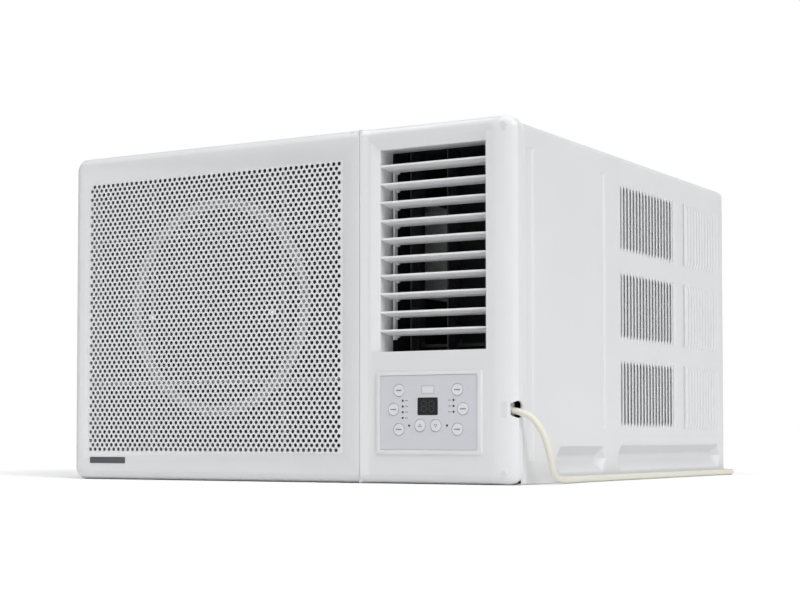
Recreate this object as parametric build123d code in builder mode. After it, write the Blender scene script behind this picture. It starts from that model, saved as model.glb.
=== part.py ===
# Window-type room air conditioner, millimetres.
# Frame: origin at the centre of the footprint, +X right seen from the room, +Y towards the
# outdoor end, +Z up. The room side faces -Y.
import os
from math import cos, degrees, radians, sin, tan

from build123d import *

os.makedirs("parts", exist_ok=True)

# ---------------------------------------------------------------- driving dimensions
WIDTH = 660.0
HEIGHT = 428.0
DEPTH = 700.0
FRONT = -DEPTH / 2
REAR = DEPTH / 2

# front assembly
PANEL_DEPTH = 25.0
PANEL_REAR = FRONT + PANEL_DEPTH
PANEL_CORNER = 15.0
PANEL_EDGE = 11.0
WALL = 2.5
SEAM_X = 122.5
DISH = 2.5
DISH_Y = FRONT + DISH

# inlet grille
RING_Y = PANEL_REAR - 11.0
GRILLE_REAR = RING_Y - 2.5
SCREEN = (-303.0, 99.0, 35.5, 392.5)
HINGE_Y = RING_Y - 3.5
HINGE_Z = HEIGHT - 3.0
HINGE_R = 3.0
HINGE_LUGS = ((-306.0, -312.0), (104.0, 110.0))
HINGE_EYES = (-312.5, 110.5)
LUG_HALF = 3.0
RAIL_X1 = 118.0
RAILS = ((22.0, 29.5), (410.5, 418.0))
AIR_INLET = (-300.0, 100.0, 40.0, 400.0)
BACK_PLATE = 2.0
BOSSES = ((-318.0, RING_Y), (316.0, FRONT + 4.0))
BOSS_INSET = 12.0
BOSS_R = 4.0
BOSS_BORE_R = 1.8
PIN_R = 1.5
BORE_R = 1.56
PLUG_HOLES = ((-194.9, 210.9), (-5.2, 210.9))
PLUG_R = 2.4
SCREEN_THICK = 1.4
LEDGE = 4.0
BADGE = (-298.5, -239.0, 21.0, 29.0)
BADGE_DEPTH = 0.5

# air filter
FILTER = (-318.0, 112.0, 30.0, 410.0)
FILTER_Y0, FILTER_Y1 = -334.0, -329.0
FILTER_RIM = 8.0
FILTER_RIB_Y = -331.8
FILTER_TAB = (-328.5, 190.0, 250.0)

# outlet
OUT_X0, OUT_X1 = 147.5, 294.0
OUT_Z0, OUT_Z1 = 157.0, 401.0
OUT_REAR = PANEL_REAR + 13.0
BEVEL_Y = DISH_Y + 6.0
BEVEL_X0 = 137.0
BEVEL_TOP = 411.5
BLADES = 10
BLADE_PITCH = 22.1
BLADE_TOP_Z = 379.5
BLADE_Y = PANEL_REAR - 4.0
BLADE_CHORD = 26.0
BLADE_THICK = 2.4
BLADE_TILT = 10.0
CRANK = 14.5
LINK_X0, LINK_X1 = 151.0, 154.0
VANES = 3
VANE_X0 = 169.75
VANE_STEP = 51.0
VANE_Y = -290.0
VANE_CHORD = 34.0
VANE_CRANK = 14.0
VANE_LINK_Z0, VANE_LINK_Z1 = 165.0, 168.5
MOTOR_Z0, MOTOR_Z1 = 133.0, 152.0
SWING_MOTOR_R = 17.5
DUCT_X0, DUCT_X1 = 145.5, 296.0
DUCT_Z0, DUCT_Z1 = 155.0, 403.0
DUCT_REAR = -150.0

# control panel
CTL_X0, CTL_X1, CTL_Z0, CTL_Z1 = 145.6, 289.5, 35.0, 132.5
OVL_X0, OVL_X1, OVL_Z0, OVL_Z1 = 151.4, 282.5, 40.2, 128.0
CTL_HOLE = (146.6, 288.5, 36.0, 131.5)
CTL_TONGUE = (146.8, 288.3, 36.2, 131.3)
CTL_SEAT = DISH_Y + 4.5
OVL_Y = FRONT + 1.4
BUTTON_R = 7.0
BUTTON_Y = FRONT + 0.6
CTL_MID_X = 217.2
BUTTONS = {
    "power": (CTL_MID_X - 39.5, 110.5),
    "mode": (CTL_MID_X - 47.0, 88.0),
    "timer": (CTL_MID_X - 39.5, 64.2),
    "up": (CTL_MID_X - 10.6, 68.7),
    "down": (CTL_MID_X + 10.6, 68.7),
    "sleep": (CTL_MID_X + 39.5, 110.5),
    "fan": (CTL_MID_X + 47.0, 88.0),
    "swing": (CTL_MID_X + 39.5, 64.2),
}
DISPLAY = (203.0, 230.6, 80.9, 101.8)
LED_R = 1.4
LEDS_PAIRED = ((-34.4, 98.3), (-34.4, 91.4), (-34.4, 84.6), (-25.6, 68.7))
LEDS = [(CTL_MID_X + side * x, z) for side in (1, -1) for x, z in LEDS_PAIRED]
LEDS.append((CTL_MID_X - 34.4, 77.8))
BOARD = (152.0, 284.0, 40.0, 128.0)
BOARD_THICK = 1.6
BOARD_POSTS = ((154.0, 280.0), (43.0, 125.0))
BOARD_Y = -336.4
SWITCH_Y = -341.8

# cabinet
SHEET = 1.2
CAB_X = WIDTH / 2 - 2.0
CAB_TOP = 423.5
CAB_REAR = REAR - 1.6
CAB_CORNER = 10.0
PAN_X = 313.5
PAN_HOLES = (270.0, 240.0, 4.0)
PAN_HEIGHT = 28.0
PAN_SHEET = 1.5
REAR_LIP = 12.0
SLOT_WIDTH = 3.2
TROUGH_Z0, TROUGH_MID, TROUGH_Z1 = 12.0, 28.0, 44.0
LOUVRE_A = (-34.0, 149.0, 17)
LOUVRE_B = (192.5, 327.0, 12)
LOUVRE_ROWS = ((296.5, 387.5), (181.0, 273.0), (66.5, 157.0))
RIBS = ((-311.0, -290.0, 26.0, 396.5), (-98.0, -83.0, 65.5, 396.0))
RIB_DEPTH = 2.0
SCREW_X = CAB_X - 6.5
SCREW_ZS = (60.0, 214.0, 370.0)
POCKETS = ((-228.0, -90.0), (-42.0, 327.0))
POCKET_DEPTH = 11.0

# air path
AXIS_X, AXIS_Z = -100.0, 215.0
SCROLL_R = 137.0
SCROLL_Y0, SCROLL_Y1 = -255.0, -150.0
THROAT_Z0, THROAT_Z1 = 228.0, 352.0
WHEEL_R = 115.0
WHEEL_Y0, WHEEL_Y1 = -245.0, -165.0
WHEEL_BLADES = 36
SHAFT_R = 6.0
MOTOR_R = 60.0
MOTOR_Y0, MOTOR_Y1 = -120.0, -20.0
FAN_R = 160.0
FAN_Y0, FAN_Y1 = 62.0, 108.0
FAN_BLADES = 5
SHROUD_Y = 124.0
HUB_R = 30.0
MOTOR_NECK_R = 14.0
BRACKET_HALF = 75.0
BULKHEAD_Y0, BULKHEAD_Y1 = -148.0, -146.5
INNER_X = 311.0

# coils
TUBE_R = 4.76
TUBE_BORE_R = 4.85
TUBE_PITCH = 25.4
EVAP = (-290.0, 95.0, -312.0, -262.0, 40.0, 395.0)
COND = (-295.0, 290.0, 290.0, 335.0, 1.5, 405.0)
BEND_REACH = 4.0
TRAY = (-310.0, 115.0, -317.0, -257.0, 1.5, 44.0)

# compressor
COMP_X, COMP_Y, COMP_R = 215.0, 20.0, 75.0
COMP_Z0, COMP_Z1 = 26.0, 285.0
FOOT_R = 88.0
FEET = [radians(90 + 120 * k) for k in range(3)]
RISER_X = 126.0
SUCTION_Z0, SUCTION_Z1 = 62.0, 200.0
DISCHARGE_X, DISCHARGE_Y = 312.0, 80.0
SUCTION_R, DISCHARGE_R = 4.0, 3.2

# electrics
BOX = (152.0, 300.0, -319.0, -200.0, 1.5, 130.0)
BOX_SHEET = 1.2
CAPACITOR = (200.0, -226.0, 95.0, 22.0)

# power cord
CORD_R = 4.0
CLAMP = (302.0, 320.0)
CORD_Z = 87.0
CORD_Y = -334.5
COIL_X, COIL_Y = 150.0, 425.0
COIL_R = 44.0
PLUG_X = COIL_X + 70.0
PLUG_Y = COIL_Y + COIL_R
PLUG_Z = 11.0


# ---------------------------------------------------------------- small helpers
def block(x0, x1, y0, y1, z0, z1, mode=Mode.ADD):
    """A box between two corners, placed in the part being built."""
    with Locations(((x0 + x1) / 2, (y0 + y1) / 2, (z0 + z1) / 2)):
        Box(x1 - x0, y1 - y0, z1 - z0, mode=mode)


def rod_x(x0, x1, y, z, r, mode=Mode.ADD):
    """A cylinder along X."""
    with Locations(((x0 + x1) / 2, y, z)):
        Cylinder(r, x1 - x0, rotation=(0, 90, 0), mode=mode)


def rod_y(x, y0, y1, z, r, mode=Mode.ADD):
    """A cylinder along Y."""
    with Locations((x, (y0 + y1) / 2, z)):
        Cylinder(r, y1 - y0, rotation=(90, 0, 0), mode=mode)


def rod_z(x, y, z0, z1, r, mode=Mode.ADD):
    """A cylinder along Z."""
    with Locations((x, y, (z0 + z1) / 2)):
        Cylinder(r, z1 - z0, mode=mode)


def save(piece, name):
    """Labels a finished sub-part and writes its STEP file."""
    piece.part.label = name
    export_step(piece.part, f"parts/{name}.step")


def face_plane(y):
    """A sketch plane facing the room at depth y: local x is X, local y is Z."""
    return Plane.XZ.offset(-y)


# ---------------------------------------------------------------- front frame
# Full-face pillow blanks, outside and one wall thickness inside.
with BuildPart() as blank_outer:
    with BuildSketch(face_plane(PANEL_REAR)):
        with Locations((0, HEIGHT / 2)):
            RectangleRounded(WIDTH, HEIGHT, PANEL_CORNER)
    extrude(amount=PANEL_DEPTH)
    fillet(blank_outer.faces().sort_by(Axis.Y)[0].edges(), PANEL_EDGE)

with BuildPart() as blank_inner:
    with BuildSketch(face_plane(PANEL_REAR)):
        with Locations((0, HEIGHT / 2)):
            RectangleRounded(WIDTH - 2 * WALL, HEIGHT - 2 * WALL, PANEL_CORNER - WALL)
    extrude(amount=PANEL_DEPTH - WALL)
    fillet(blank_inner.faces().sort_by(Axis.Y)[0].edges(), PANEL_EDGE - WALL)

with BuildPart() as front_frame:
    add(blank_outer.part)
    # left of the seam only a shallow ring stands behind the grille
    block(-WIDTH, SEAM_X + 0.5, FRONT - 1, RING_Y, -1, HEIGHT + 1, mode=Mode.SUBTRACT)
    block(-WIDTH / 2 + 3, SEAM_X - 1.5, RING_Y - 1, PANEL_REAR - 2, 3, HEIGHT - 3, mode=Mode.SUBTRACT)
    # right of the seam the section is a moulding of full depth
    block(SEAM_X + 3, WIDTH / 2 - 3, FRONT + 5, PANEL_REAR + 1, 3, HEIGHT - 3, mode=Mode.SUBTRACT)
    with BuildSketch(Plane.XY.offset(-1)):
        Polygon((SEAM_X + 1.5, FRONT), (BEVEL_X0, DISH_Y), (WIDTH, DISH_Y), (WIDTH, FRONT - 1),
                (SEAM_X + 1.5, FRONT - 1), align=None)
    extrude(amount=HEIGHT + 2, mode=Mode.SUBTRACT)
    # outlet collar with its bevelled mouth
    block(BEVEL_X0 - 1, OUT_X1 + WALL, DISH_Y, DISH_Y + 8, OUT_Z0 - WALL, BEVEL_TOP + 1)
    block(OUT_X0 - WALL, OUT_X1 + WALL, DISH_Y, OUT_REAR, OUT_Z0 - WALL, OUT_Z1 + WALL)
    block(OUT_X0, OUT_X1, FRONT - 1, OUT_REAR + 1, OUT_Z0, OUT_Z1, mode=Mode.SUBTRACT)
    with BuildSketch(face_plane(DISH_Y)):
        with Locations(((BEVEL_X0 + OUT_X1) / 2, (OUT_Z0 + BEVEL_TOP) / 2)):
            Rectangle(OUT_X1 - BEVEL_X0, BEVEL_TOP - OUT_Z0)
    with BuildSketch(face_plane(BEVEL_Y)):
        with Locations(((OUT_X0 + OUT_X1) / 2, (OUT_Z0 + OUT_Z1) / 2)):
            Rectangle(OUT_X1 - OUT_X0, OUT_Z1 - OUT_Z0)
    loft(mode=Mode.SUBTRACT)
    # blade pivot holes in the collar's side walls
    for i in range(BLADES):
        pivot_z = BLADE_TOP_Z - BLADE_PITCH * i
        rod_x(OUT_X0 - 2, OUT_X1 + 2, BLADE_Y, pivot_z, BORE_R, mode=Mode.SUBTRACT)
    # back plate with the air inlet, and the filter's rails
    block(-WIDTH / 2 + 3, SEAM_X - 1, PANEL_REAR - BACK_PLATE, PANEL_REAR, 3, HEIGHT - 3)
    for rail_z0, rail_z1 in RAILS:
        block(-WIDTH / 2 + 3, RAIL_X1, RING_Y, PANEL_REAR, rail_z0, rail_z1)
    block(*AIR_INLET[:2], RING_Y - 1, PANEL_REAR + 1, *AIR_INLET[2:], mode=Mode.SUBTRACT)
    # slot for the filter in the left wall
    block(-WIDTH, -WIDTH / 2 + 4, RING_Y + 0.8, PANEL_REAR - BACK_PLATE, RAILS[0][1], RAILS[1][0],
          mode=Mode.SUBTRACT)
    # opening for the control panel
    block(*CTL_HOLE[:2], FRONT - 1, DISH_Y + 3, *CTL_HOLE[2:], mode=Mode.SUBTRACT)
    # cord clamp behind the face, and the notch in the right wall
    block(*CLAMP, FRONT + 4, PANEL_REAR - BACK_PLATE, CORD_Z - 8, CORD_Z + 8)
    rod_x(CLAMP[0] - 1, CLAMP[1] + 1, CORD_Y, CORD_Z, CORD_R + 0.05, mode=Mode.SUBTRACT)
    rod_x(WIDTH / 2 - 10, WIDTH / 2 + 1, CORD_Y, CORD_Z, 10.0, mode=Mode.SUBTRACT)
    # hinge lugs for the grille, each with a pin
    for lug_x, pin_x in HINGE_LUGS:
        rod_x(lug_x - LUG_HALF, lug_x + LUG_HALF, HINGE_Y, HINGE_Z, HINGE_R)
        block(lug_x - LUG_HALF, lug_x + LUG_HALF, HINGE_Y, RING_Y + 2, HINGE_Z - 3, HINGE_Z + 2)
        rod_x(min(lug_x, pin_x) - 3, max(lug_x, pin_x) + 2, HINGE_Y, HINGE_Z, PIN_R)
    # four screw bosses behind the face
    for boss_x, boss_y in BOSSES:
        for boss_z in (BOSS_INSET, HEIGHT - BOSS_INSET):
            rod_y(boss_x, boss_y, PANEL_REAR, boss_z, BOSS_R)
            rod_y(boss_x, RING_Y + 1, PANEL_REAR + 1, boss_z, BOSS_BORE_R, mode=Mode.SUBTRACT)
save(front_frame, "front_frame")

# ---------------------------------------------------------------- inlet grille
with BuildPart() as grille_panel:
    add(blank_outer.part)
    add(blank_inner.part, mode=Mode.SUBTRACT)
    block(SEAM_X - 0.5, WIDTH, FRONT - 1, REAR, -1, HEIGHT + 1, mode=Mode.SUBTRACT)
    block(-WIDTH, WIDTH, GRILLE_REAR, REAR, -1, HEIGHT + 1, mode=Mode.SUBTRACT)
    block(SEAM_X - 3, SEAM_X - 0.5, FRONT + WALL, GRILLE_REAR, 8, HEIGHT - 8)
    block(*SCREEN[:2], FRONT - 1, FRONT + WALL + 1, *SCREEN[2:], mode=Mode.SUBTRACT)
    # ledge that carries the screen
    block(SCREEN[0] - LEDGE, SCREEN[1] + LEDGE, FRONT + SCREEN_THICK, FRONT + WALL,
          SCREEN[2] - LEDGE, SCREEN[3] + LEDGE)
    block(SCREEN[0] + 3, SCREEN[1] - 3, FRONT + 1, FRONT + WALL + 1,
          SCREEN[2] + 3, SCREEN[3] - 3, mode=Mode.SUBTRACT)
    # shallow recess for the badge
    block(BADGE[0] - 0.5, BADGE[1] + 0.5, FRONT - 1, FRONT + BADGE_DEPTH, BADGE[2] - 0.5, BADGE[3] + 0.5,
          mode=Mode.SUBTRACT)
    # hinge eyes, and room for the frame's lugs
    for eye_x in HINGE_EYES:
        rod_x(eye_x - LUG_HALF + 0.2, eye_x + LUG_HALF - 0.2, HINGE_Y, HINGE_Z, HINGE_R)
    for lug_x, _ in HINGE_LUGS:
        rod_x(lug_x - LUG_HALF - 0.5, lug_x + LUG_HALF + 0.5, HINGE_Y, HINGE_Z, HINGE_R + 0.6,
              mode=Mode.SUBTRACT)
    for lug_x, pin_x in HINGE_LUGS:
        rod_x(min(lug_x, pin_x) - 3.5, max(lug_x, pin_x) + 3.0, HINGE_Y, HINGE_Z, BORE_R,
              mode=Mode.SUBTRACT)
save(grille_panel, "grille_panel")

with BuildPart() as grille_screen:
    block(*SCREEN[:2], FRONT, FRONT + SCREEN_THICK, *SCREEN[2:])
    for plug_x, plug_z in PLUG_HOLES:
        rod_y(plug_x, FRONT - 1, FRONT + 2, plug_z, PLUG_R, mode=Mode.SUBTRACT)
save(grille_screen, "grille_screen")

with BuildPart() as grille_plugs:
    for plug_x, plug_z in PLUG_HOLES:
        rod_y(plug_x, FRONT + 0.1, FRONT + SCREEN_THICK, plug_z, PLUG_R)
save(grille_plugs, "grille_plugs")

with BuildPart() as badge:
    block(*BADGE[:2], FRONT, FRONT + BADGE_DEPTH, *BADGE[2:])
save(badge, "badge")

# ---------------------------------------------------------------- air filter
net_x0, net_x1 = FILTER[0] + FILTER_RIM, FILTER[1] - FILTER_RIM
net_z0, net_z1 = FILTER[2] + FILTER_RIM, FILTER[3] - FILTER_RIM
with BuildPart() as filter_frame:
    block(FILTER[0], FILTER[1], FILTER_Y0, FILTER_Y1, FILTER[2], FILTER[3])
    block(net_x0, net_x1, FILTER_Y0 - 1, FILTER_Y1 + 1, net_z0, net_z1, mode=Mode.SUBTRACT)
    for k in range(1, 4):
        rib_x = FILTER[0] + (FILTER[1] - FILTER[0]) * k / 4
        block(rib_x - 2, rib_x + 2, FILTER_Y0, FILTER_RIB_Y, net_z0 - 1, net_z1 + 1)
    for k in range(1, 4):
        rib_z = FILTER[2] + (FILTER[3] - FILTER[2]) * k / 4
        block(net_x0 - 1, net_x1 + 1, FILTER_Y0, FILTER_RIB_Y, rib_z - 2, rib_z + 2)
    # finger tab in the side slot
    block(FILTER_TAB[0], FILTER[0] + 1, FILTER_Y0, FILTER_Y1 - 1, *FILTER_TAB[1:])
save(filter_frame, "filter_frame")

with BuildPart() as filter_mesh:
    block(net_x0, net_x1, FILTER_RIB_Y, FILTER_RIB_Y + 0.6, net_z0, net_z1)
save(filter_mesh, "filter_mesh")

# ---------------------------------------------------------------- outlet blades
crank_y = BLADE_Y + CRANK * cos(radians(BLADE_TILT))
crank_drop = CRANK * sin(radians(BLADE_TILT))
for i in range(BLADES):
    pivot_z = BLADE_TOP_Z - BLADE_PITCH * i
    chord_plane = Plane(origin=(OUT_X0 + 0.5, BLADE_Y, pivot_z), x_dir=(0, 1, 0), z_dir=(1, 0, 0))
    with BuildPart() as blade:
        with BuildSketch(chord_plane):
            SlotOverall(BLADE_CHORD, BLADE_THICK, rotation=-BLADE_TILT)
        extrude(amount=OUT_X1 - OUT_X0 - 1.0)
        rod_x(OUT_X0 - 1.5, OUT_X1 + 1.5, BLADE_Y, pivot_z, PIN_R)
        # room for the link bar, and the crank pin that drives it
        block(LINK_X0 - 1.5, LINK_X1 + 1.5, BLADE_Y + 8, BLADE_Y + 18, pivot_z - 9, pivot_z + 9,
              mode=Mode.SUBTRACT)
        rod_x(LINK_X1 + 1.0, LINK_X1 + 4.0, crank_y, pivot_z - crank_drop, 2.6)
        rod_x(LINK_X0, LINK_X1 + 2.0, crank_y, pivot_z - crank_drop, PIN_R)
    save(blade, f"louver_blade_{i + 1}")

with BuildPart() as louver_link:
    first_z = BLADE_TOP_Z - crank_drop
    last_z = first_z - BLADE_PITCH * (BLADES - 1)
    block(LINK_X0, LINK_X1, crank_y - 3, crank_y + 3, last_z - 5, first_z + 5)
    for i in range(BLADES):
        rod_x(LINK_X0 - 1, LINK_X1 + 1, crank_y, first_z - BLADE_PITCH * i, BORE_R, mode=Mode.SUBTRACT)
save(louver_link, "louver_link")

# ---------------------------------------------------------------- discharge duct and vanes
vane_xs = [VANE_X0 + VANE_STEP * i for i in range(VANES)]
with BuildPart() as discharge_duct:
    block(DUCT_X0 - 2, DUCT_X1 + 2, OUT_REAR, DUCT_REAR, DUCT_Z0 - 2, DUCT_Z1 + 2)
    block(DUCT_X0, DUCT_X1, OUT_REAR - 1, DUCT_REAR - 2, DUCT_Z0, DUCT_Z1, mode=Mode.SUBTRACT)
    block(DUCT_X0 - 3, DUCT_X0 + 1, SCROLL_Y0 + 1.5, SCROLL_Y1 - 1.5, THROAT_Z0 + 1.5, THROAT_Z1 - 1.5,
          mode=Mode.SUBTRACT)
    for vane_x in vane_xs:
        rod_z(vane_x, VANE_Y, DUCT_Z0 - 1.5, DUCT_Z1 + 1.5, BORE_R, mode=Mode.SUBTRACT)
save(discharge_duct, "discharge_duct")

for i, vane_x in enumerate(vane_xs):
    with BuildPart() as vane:
        with BuildSketch(Plane.XY.offset(DUCT_Z0 + 1)):
            with Locations((vane_x, VANE_Y)):
                SlotOverall(VANE_CHORD, 2.0, rotation=90)
        extrude(amount=DUCT_Z1 - DUCT_Z0 - 2)
        rod_z(vane_x, VANE_Y, DUCT_Z0 - 1, DUCT_Z1 + 1, PIN_R)
        # room for the link bar, and its pin
        block(vane_x - 6, vane_x + 6, VANE_Y + 8, VANE_Y + 20, VANE_LINK_Z0 - 1.5, VANE_LINK_Z1 + 1,
              mode=Mode.SUBTRACT)
        rod_z(vane_x, VANE_Y + VANE_CRANK, VANE_LINK_Z1 + 1, VANE_LINK_Z1 + 4.5, 2.4)
        rod_z(vane_x, VANE_Y + VANE_CRANK, VANE_LINK_Z0, VANE_LINK_Z1 + 2.5, PIN_R)
    save(vane, f"vane_{i + 1}")

with BuildPart() as vane_link:
    block(vane_xs[0] - 5, vane_xs[-1] + 5, VANE_Y + VANE_CRANK - 3, VANE_Y + VANE_CRANK + 3,
          VANE_LINK_Z0, VANE_LINK_Z1)
    for vane_x in vane_xs:
        rod_z(vane_x, VANE_Y + VANE_CRANK, VANE_LINK_Z0 - 1, VANE_LINK_Z1 + 1.5, BORE_R,
              mode=Mode.SUBTRACT)
save(vane_link, "vane_link")

with BuildPart() as swing_motor:
    rod_z(vane_xs[1], VANE_Y, MOTOR_Z0, MOTOR_Z1, SWING_MOTOR_R)
    block(vane_xs[1] - 22, vane_xs[1] + 22, VANE_Y - 4, VANE_Y + 4, MOTOR_Z1 - 1.5, MOTOR_Z1 + 1)
save(swing_motor, "swing_motor")

# ---------------------------------------------------------------- control panel
with BuildPart() as control_bezel:
    block(CTL_X0, CTL_X1, FRONT + 0.8, DISH_Y, CTL_Z0, CTL_Z1)
    fillet(control_bezel.edges().filter_by(Axis.Y), 2.0)
    block(*CTL_TONGUE[:2], DISH_Y, CTL_SEAT, *CTL_TONGUE[2:])
    block(OVL_X0, OVL_X1, FRONT - 1, FRONT + 9, OVL_Z0, OVL_Z1, mode=Mode.SUBTRACT)
save(control_bezel, "control_bezel")

with BuildPart() as control_overlay:
    block(OVL_X0, OVL_X1, OVL_Y, OVL_Y + 1.8, OVL_Z0, OVL_Z1)
    for button_x, button_z in BUTTONS.values():
        rod_y(button_x, FRONT, FRONT + 6, button_z, BUTTON_R + 0.35, mode=Mode.SUBTRACT)
    block(DISPLAY[0], DISPLAY[1], FRONT, FRONT + 6, DISPLAY[2], DISPLAY[3], mode=Mode.SUBTRACT)
    for led_x, led_z in LEDS:
        rod_y(led_x, FRONT, FRONT + 6, led_z, LED_R, mode=Mode.SUBTRACT)
save(control_overlay, "control_overlay")

with BuildPart() as display_window:
    block(DISPLAY[0], DISPLAY[1], OVL_Y + 0.1, OVL_Y + 1.7, DISPLAY[2], DISPLAY[3])
save(display_window, "display_window")

with BuildPart() as led_lenses:
    for led_x, led_z in LEDS:
        rod_y(led_x, OVL_Y, OVL_Y + 1.8, led_z, LED_R)
save(led_lenses, "led_lenses")

for name, (button_x, button_z) in BUTTONS.items():
    with BuildPart() as button:
        rod_y(button_x, BUTTON_Y, OVL_Y + 3.2, button_z, BUTTON_R)
        rod_y(button_x, OVL_Y + 2.2, OVL_Y + 3.2, button_z, BUTTON_R + 1.2)
        rod_y(button_x, OVL_Y + 3.2, SWITCH_Y - 1.2, button_z, 2.5)
        fillet(button.edges().filter_by(GeomType.CIRCLE).sort_by(Axis.Y)[0], 0.4)
    save(button, f"button_{name}")

with BuildPart() as control_board:
    block(*BOARD[:2], BOARD_Y - BOARD_THICK, BOARD_Y, *BOARD[2:])
    for button_x, button_z in BUTTONS.values():
        rod_y(button_x, SWITCH_Y, BOARD_Y - BOARD_THICK, button_z, 3.0)
    block(DISPLAY[0] + 1, DISPLAY[1] - 1, OVL_Y + 2.0, BOARD_Y - BOARD_THICK, DISPLAY[2] + 1, DISPLAY[3] - 1)
    for post_x in BOARD_POSTS[0]:
        for post_z in BOARD_POSTS[1]:
            rod_y(post_x, CTL_SEAT, BOARD_Y - BOARD_THICK, post_z, 2.0)
    block(160, 200, BOARD_Y, BOARD_Y + 8, 60, 80)
save(control_board, "control_board")


# ---------------------------------------------------------------- heat exchangers
def tube_rows(coil):
    """Heights of a coil's tube rows, from the bottom up."""
    count = int((coil[5] - coil[4]) // TUBE_PITCH)
    start = (coil[4] + coil[5] - TUBE_PITCH * (count - 1)) / 2
    return [start + TUBE_PITCH * k for k in range(count)]


def tube_columns(coil):
    """Depths of a coil's two tube columns."""
    return [coil[2] + (coil[3] - coil[2]) * f for f in (0.25, 0.75)]


for coil, fins_name, tubes_name in (
    (EVAP, "evaporator_fins", "evaporator_tubes"),
    (COND, "condenser_fins", "condenser_tubes"),
):
    with BuildPart() as fins:
        block(*coil)
        for tube_y in tube_columns(coil):
            for tube_z in tube_rows(coil):
                rod_x(coil[0] - 1, coil[1] + 1, tube_y, tube_z, TUBE_BORE_R, mode=Mode.SUBTRACT)
    save(fins, fins_name)

    with BuildPart() as tubes:
        for tube_y in tube_columns(coil):
            rows = tube_rows(coil)
            for tube_z in rows:
                rod_x(coil[0] - BEND_REACH, coil[1] + BEND_REACH, tube_y, tube_z, TUBE_R)
            for k in range(len(rows) - 1):
                side = 1 if k % 2 == 0 else -1
                bend_x = coil[1] + BEND_REACH if side == 1 else coil[0] - BEND_REACH
                bend_z = (rows[k] + rows[k + 1]) / 2
                bend = Plane(origin=(bend_x, tube_y, bend_z), x_dir=(0, 0, -1), z_dir=(0, -side, 0))
                with Locations(bend):
                    Torus(TUBE_PITCH / 2, TUBE_R, major_angle=180, align=None)
    save(tubes, tubes_name)

with BuildPart() as drain_tray:
    block(*TRAY)
    block(TRAY[0] + 2, TRAY[1] - 2, TRAY[2] + 2, TRAY[3] - 2, TRAY[5] - 4, TRAY[5] + 1, mode=Mode.SUBTRACT)
    block(TRAY[0] + 10, TRAY[1] - 10, TRAY[2] + 10, TRAY[3] - 10, 0, TRAY[5] - 8, mode=Mode.SUBTRACT)
save(drain_tray, "drain_tray")

# ---------------------------------------------------------------- blower, fan and motor
with BuildPart() as blower_housing:
    with BuildSketch(face_plane(SCROLL_Y1)):
        with Locations((AXIS_X, AXIS_Z)):
            Circle(SCROLL_R)
        with Locations(((AXIS_X + DUCT_X0 - 2) / 2, (THROAT_Z0 + THROAT_Z1) / 2)):
            Rectangle(DUCT_X0 - 2 - AXIS_X, THROAT_Z1 - THROAT_Z0)
    extrude(amount=SCROLL_Y1 - SCROLL_Y0)
    with BuildSketch(face_plane(SCROLL_Y1 - 1.5)):
        with Locations((AXIS_X, AXIS_Z)):
            Circle(SCROLL_R - 1.5)
        with Locations(((AXIS_X + DUCT_X0) / 2, (THROAT_Z0 + THROAT_Z1) / 2)):
            Rectangle(DUCT_X0 - AXIS_X, THROAT_Z1 - THROAT_Z0 - 3)
    extrude(amount=SCROLL_Y1 - SCROLL_Y0 - 3, mode=Mode.SUBTRACT)
    rod_y(AXIS_X, SCROLL_Y0 - 1, SCROLL_Y0 + 2, AXIS_Z, 95, mode=Mode.SUBTRACT)
    rod_y(AXIS_X, SCROLL_Y1 - 2, SCROLL_Y1 + 1, AXIS_Z, 12, mode=Mode.SUBTRACT)
save(blower_housing, "blower_housing")

with BuildPart() as blower_wheel:
    rod_y(AXIS_X, WHEEL_Y1 - 1.5, WHEEL_Y1, AXIS_Z, WHEEL_R)
    rod_y(AXIS_X, WHEEL_Y0, WHEEL_Y0 + 3, AXIS_Z, WHEEL_R)
    rod_y(AXIS_X, WHEEL_Y0 - 1, WHEEL_Y0 + 4, AXIS_Z, WHEEL_R - 12, mode=Mode.SUBTRACT)
    rod_y(AXIS_X, WHEEL_Y1 - 26, WHEEL_Y1, AXIS_Z, 14)
    hub_plane = Plane(origin=(AXIS_X, (WHEEL_Y0 + WHEEL_Y1) / 2, AXIS_Z), z_dir=(0, 1, 0))
    with Locations(hub_plane):
        with PolarLocations(WHEEL_R - 6.5, WHEEL_BLADES):
            Box(11, 0.9, WHEEL_Y1 - WHEEL_Y0 - 1, rotation=(0, 0, 30))
    rod_y(AXIS_X, WHEEL_Y0, WHEEL_Y1 + 1, AXIS_Z, SHAFT_R, mode=Mode.SUBTRACT)
save(blower_wheel, "blower_wheel")

with BuildPart() as condenser_fan:
    rod_y(AXIS_X, FAN_Y1 - 12, FAN_Y1 - 6, AXIS_Z, FAN_R)
    rod_y(AXIS_X, FAN_Y1 - 13, FAN_Y1 - 5, AXIS_Z, FAN_R - 3, mode=Mode.SUBTRACT)
    rod_y(AXIS_X, FAN_Y0 + 4, FAN_Y1 - 4, AXIS_Z, HUB_R)
    fan_plane = Plane(origin=(AXIS_X, (FAN_Y0 + FAN_Y1) / 2, AXIS_Z), z_dir=(0, 1, 0))
    with Locations(fan_plane):
        with PolarLocations(93, FAN_BLADES):
            Box(131, 62, 2.5, rotation=(30, 0, 0))
    rod_y(AXIS_X, FAN_Y0 - 1, FAN_Y1 + 1, AXIS_Z, SHAFT_R, mode=Mode.SUBTRACT)
save(condenser_fan, "condenser_fan")

with BuildPart() as fan_shaft:
    rod_y(AXIS_X, WHEEL_Y0 + 20, FAN_Y1 + 6, AXIS_Z, SHAFT_R)
save(fan_shaft, "fan_shaft")

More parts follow.
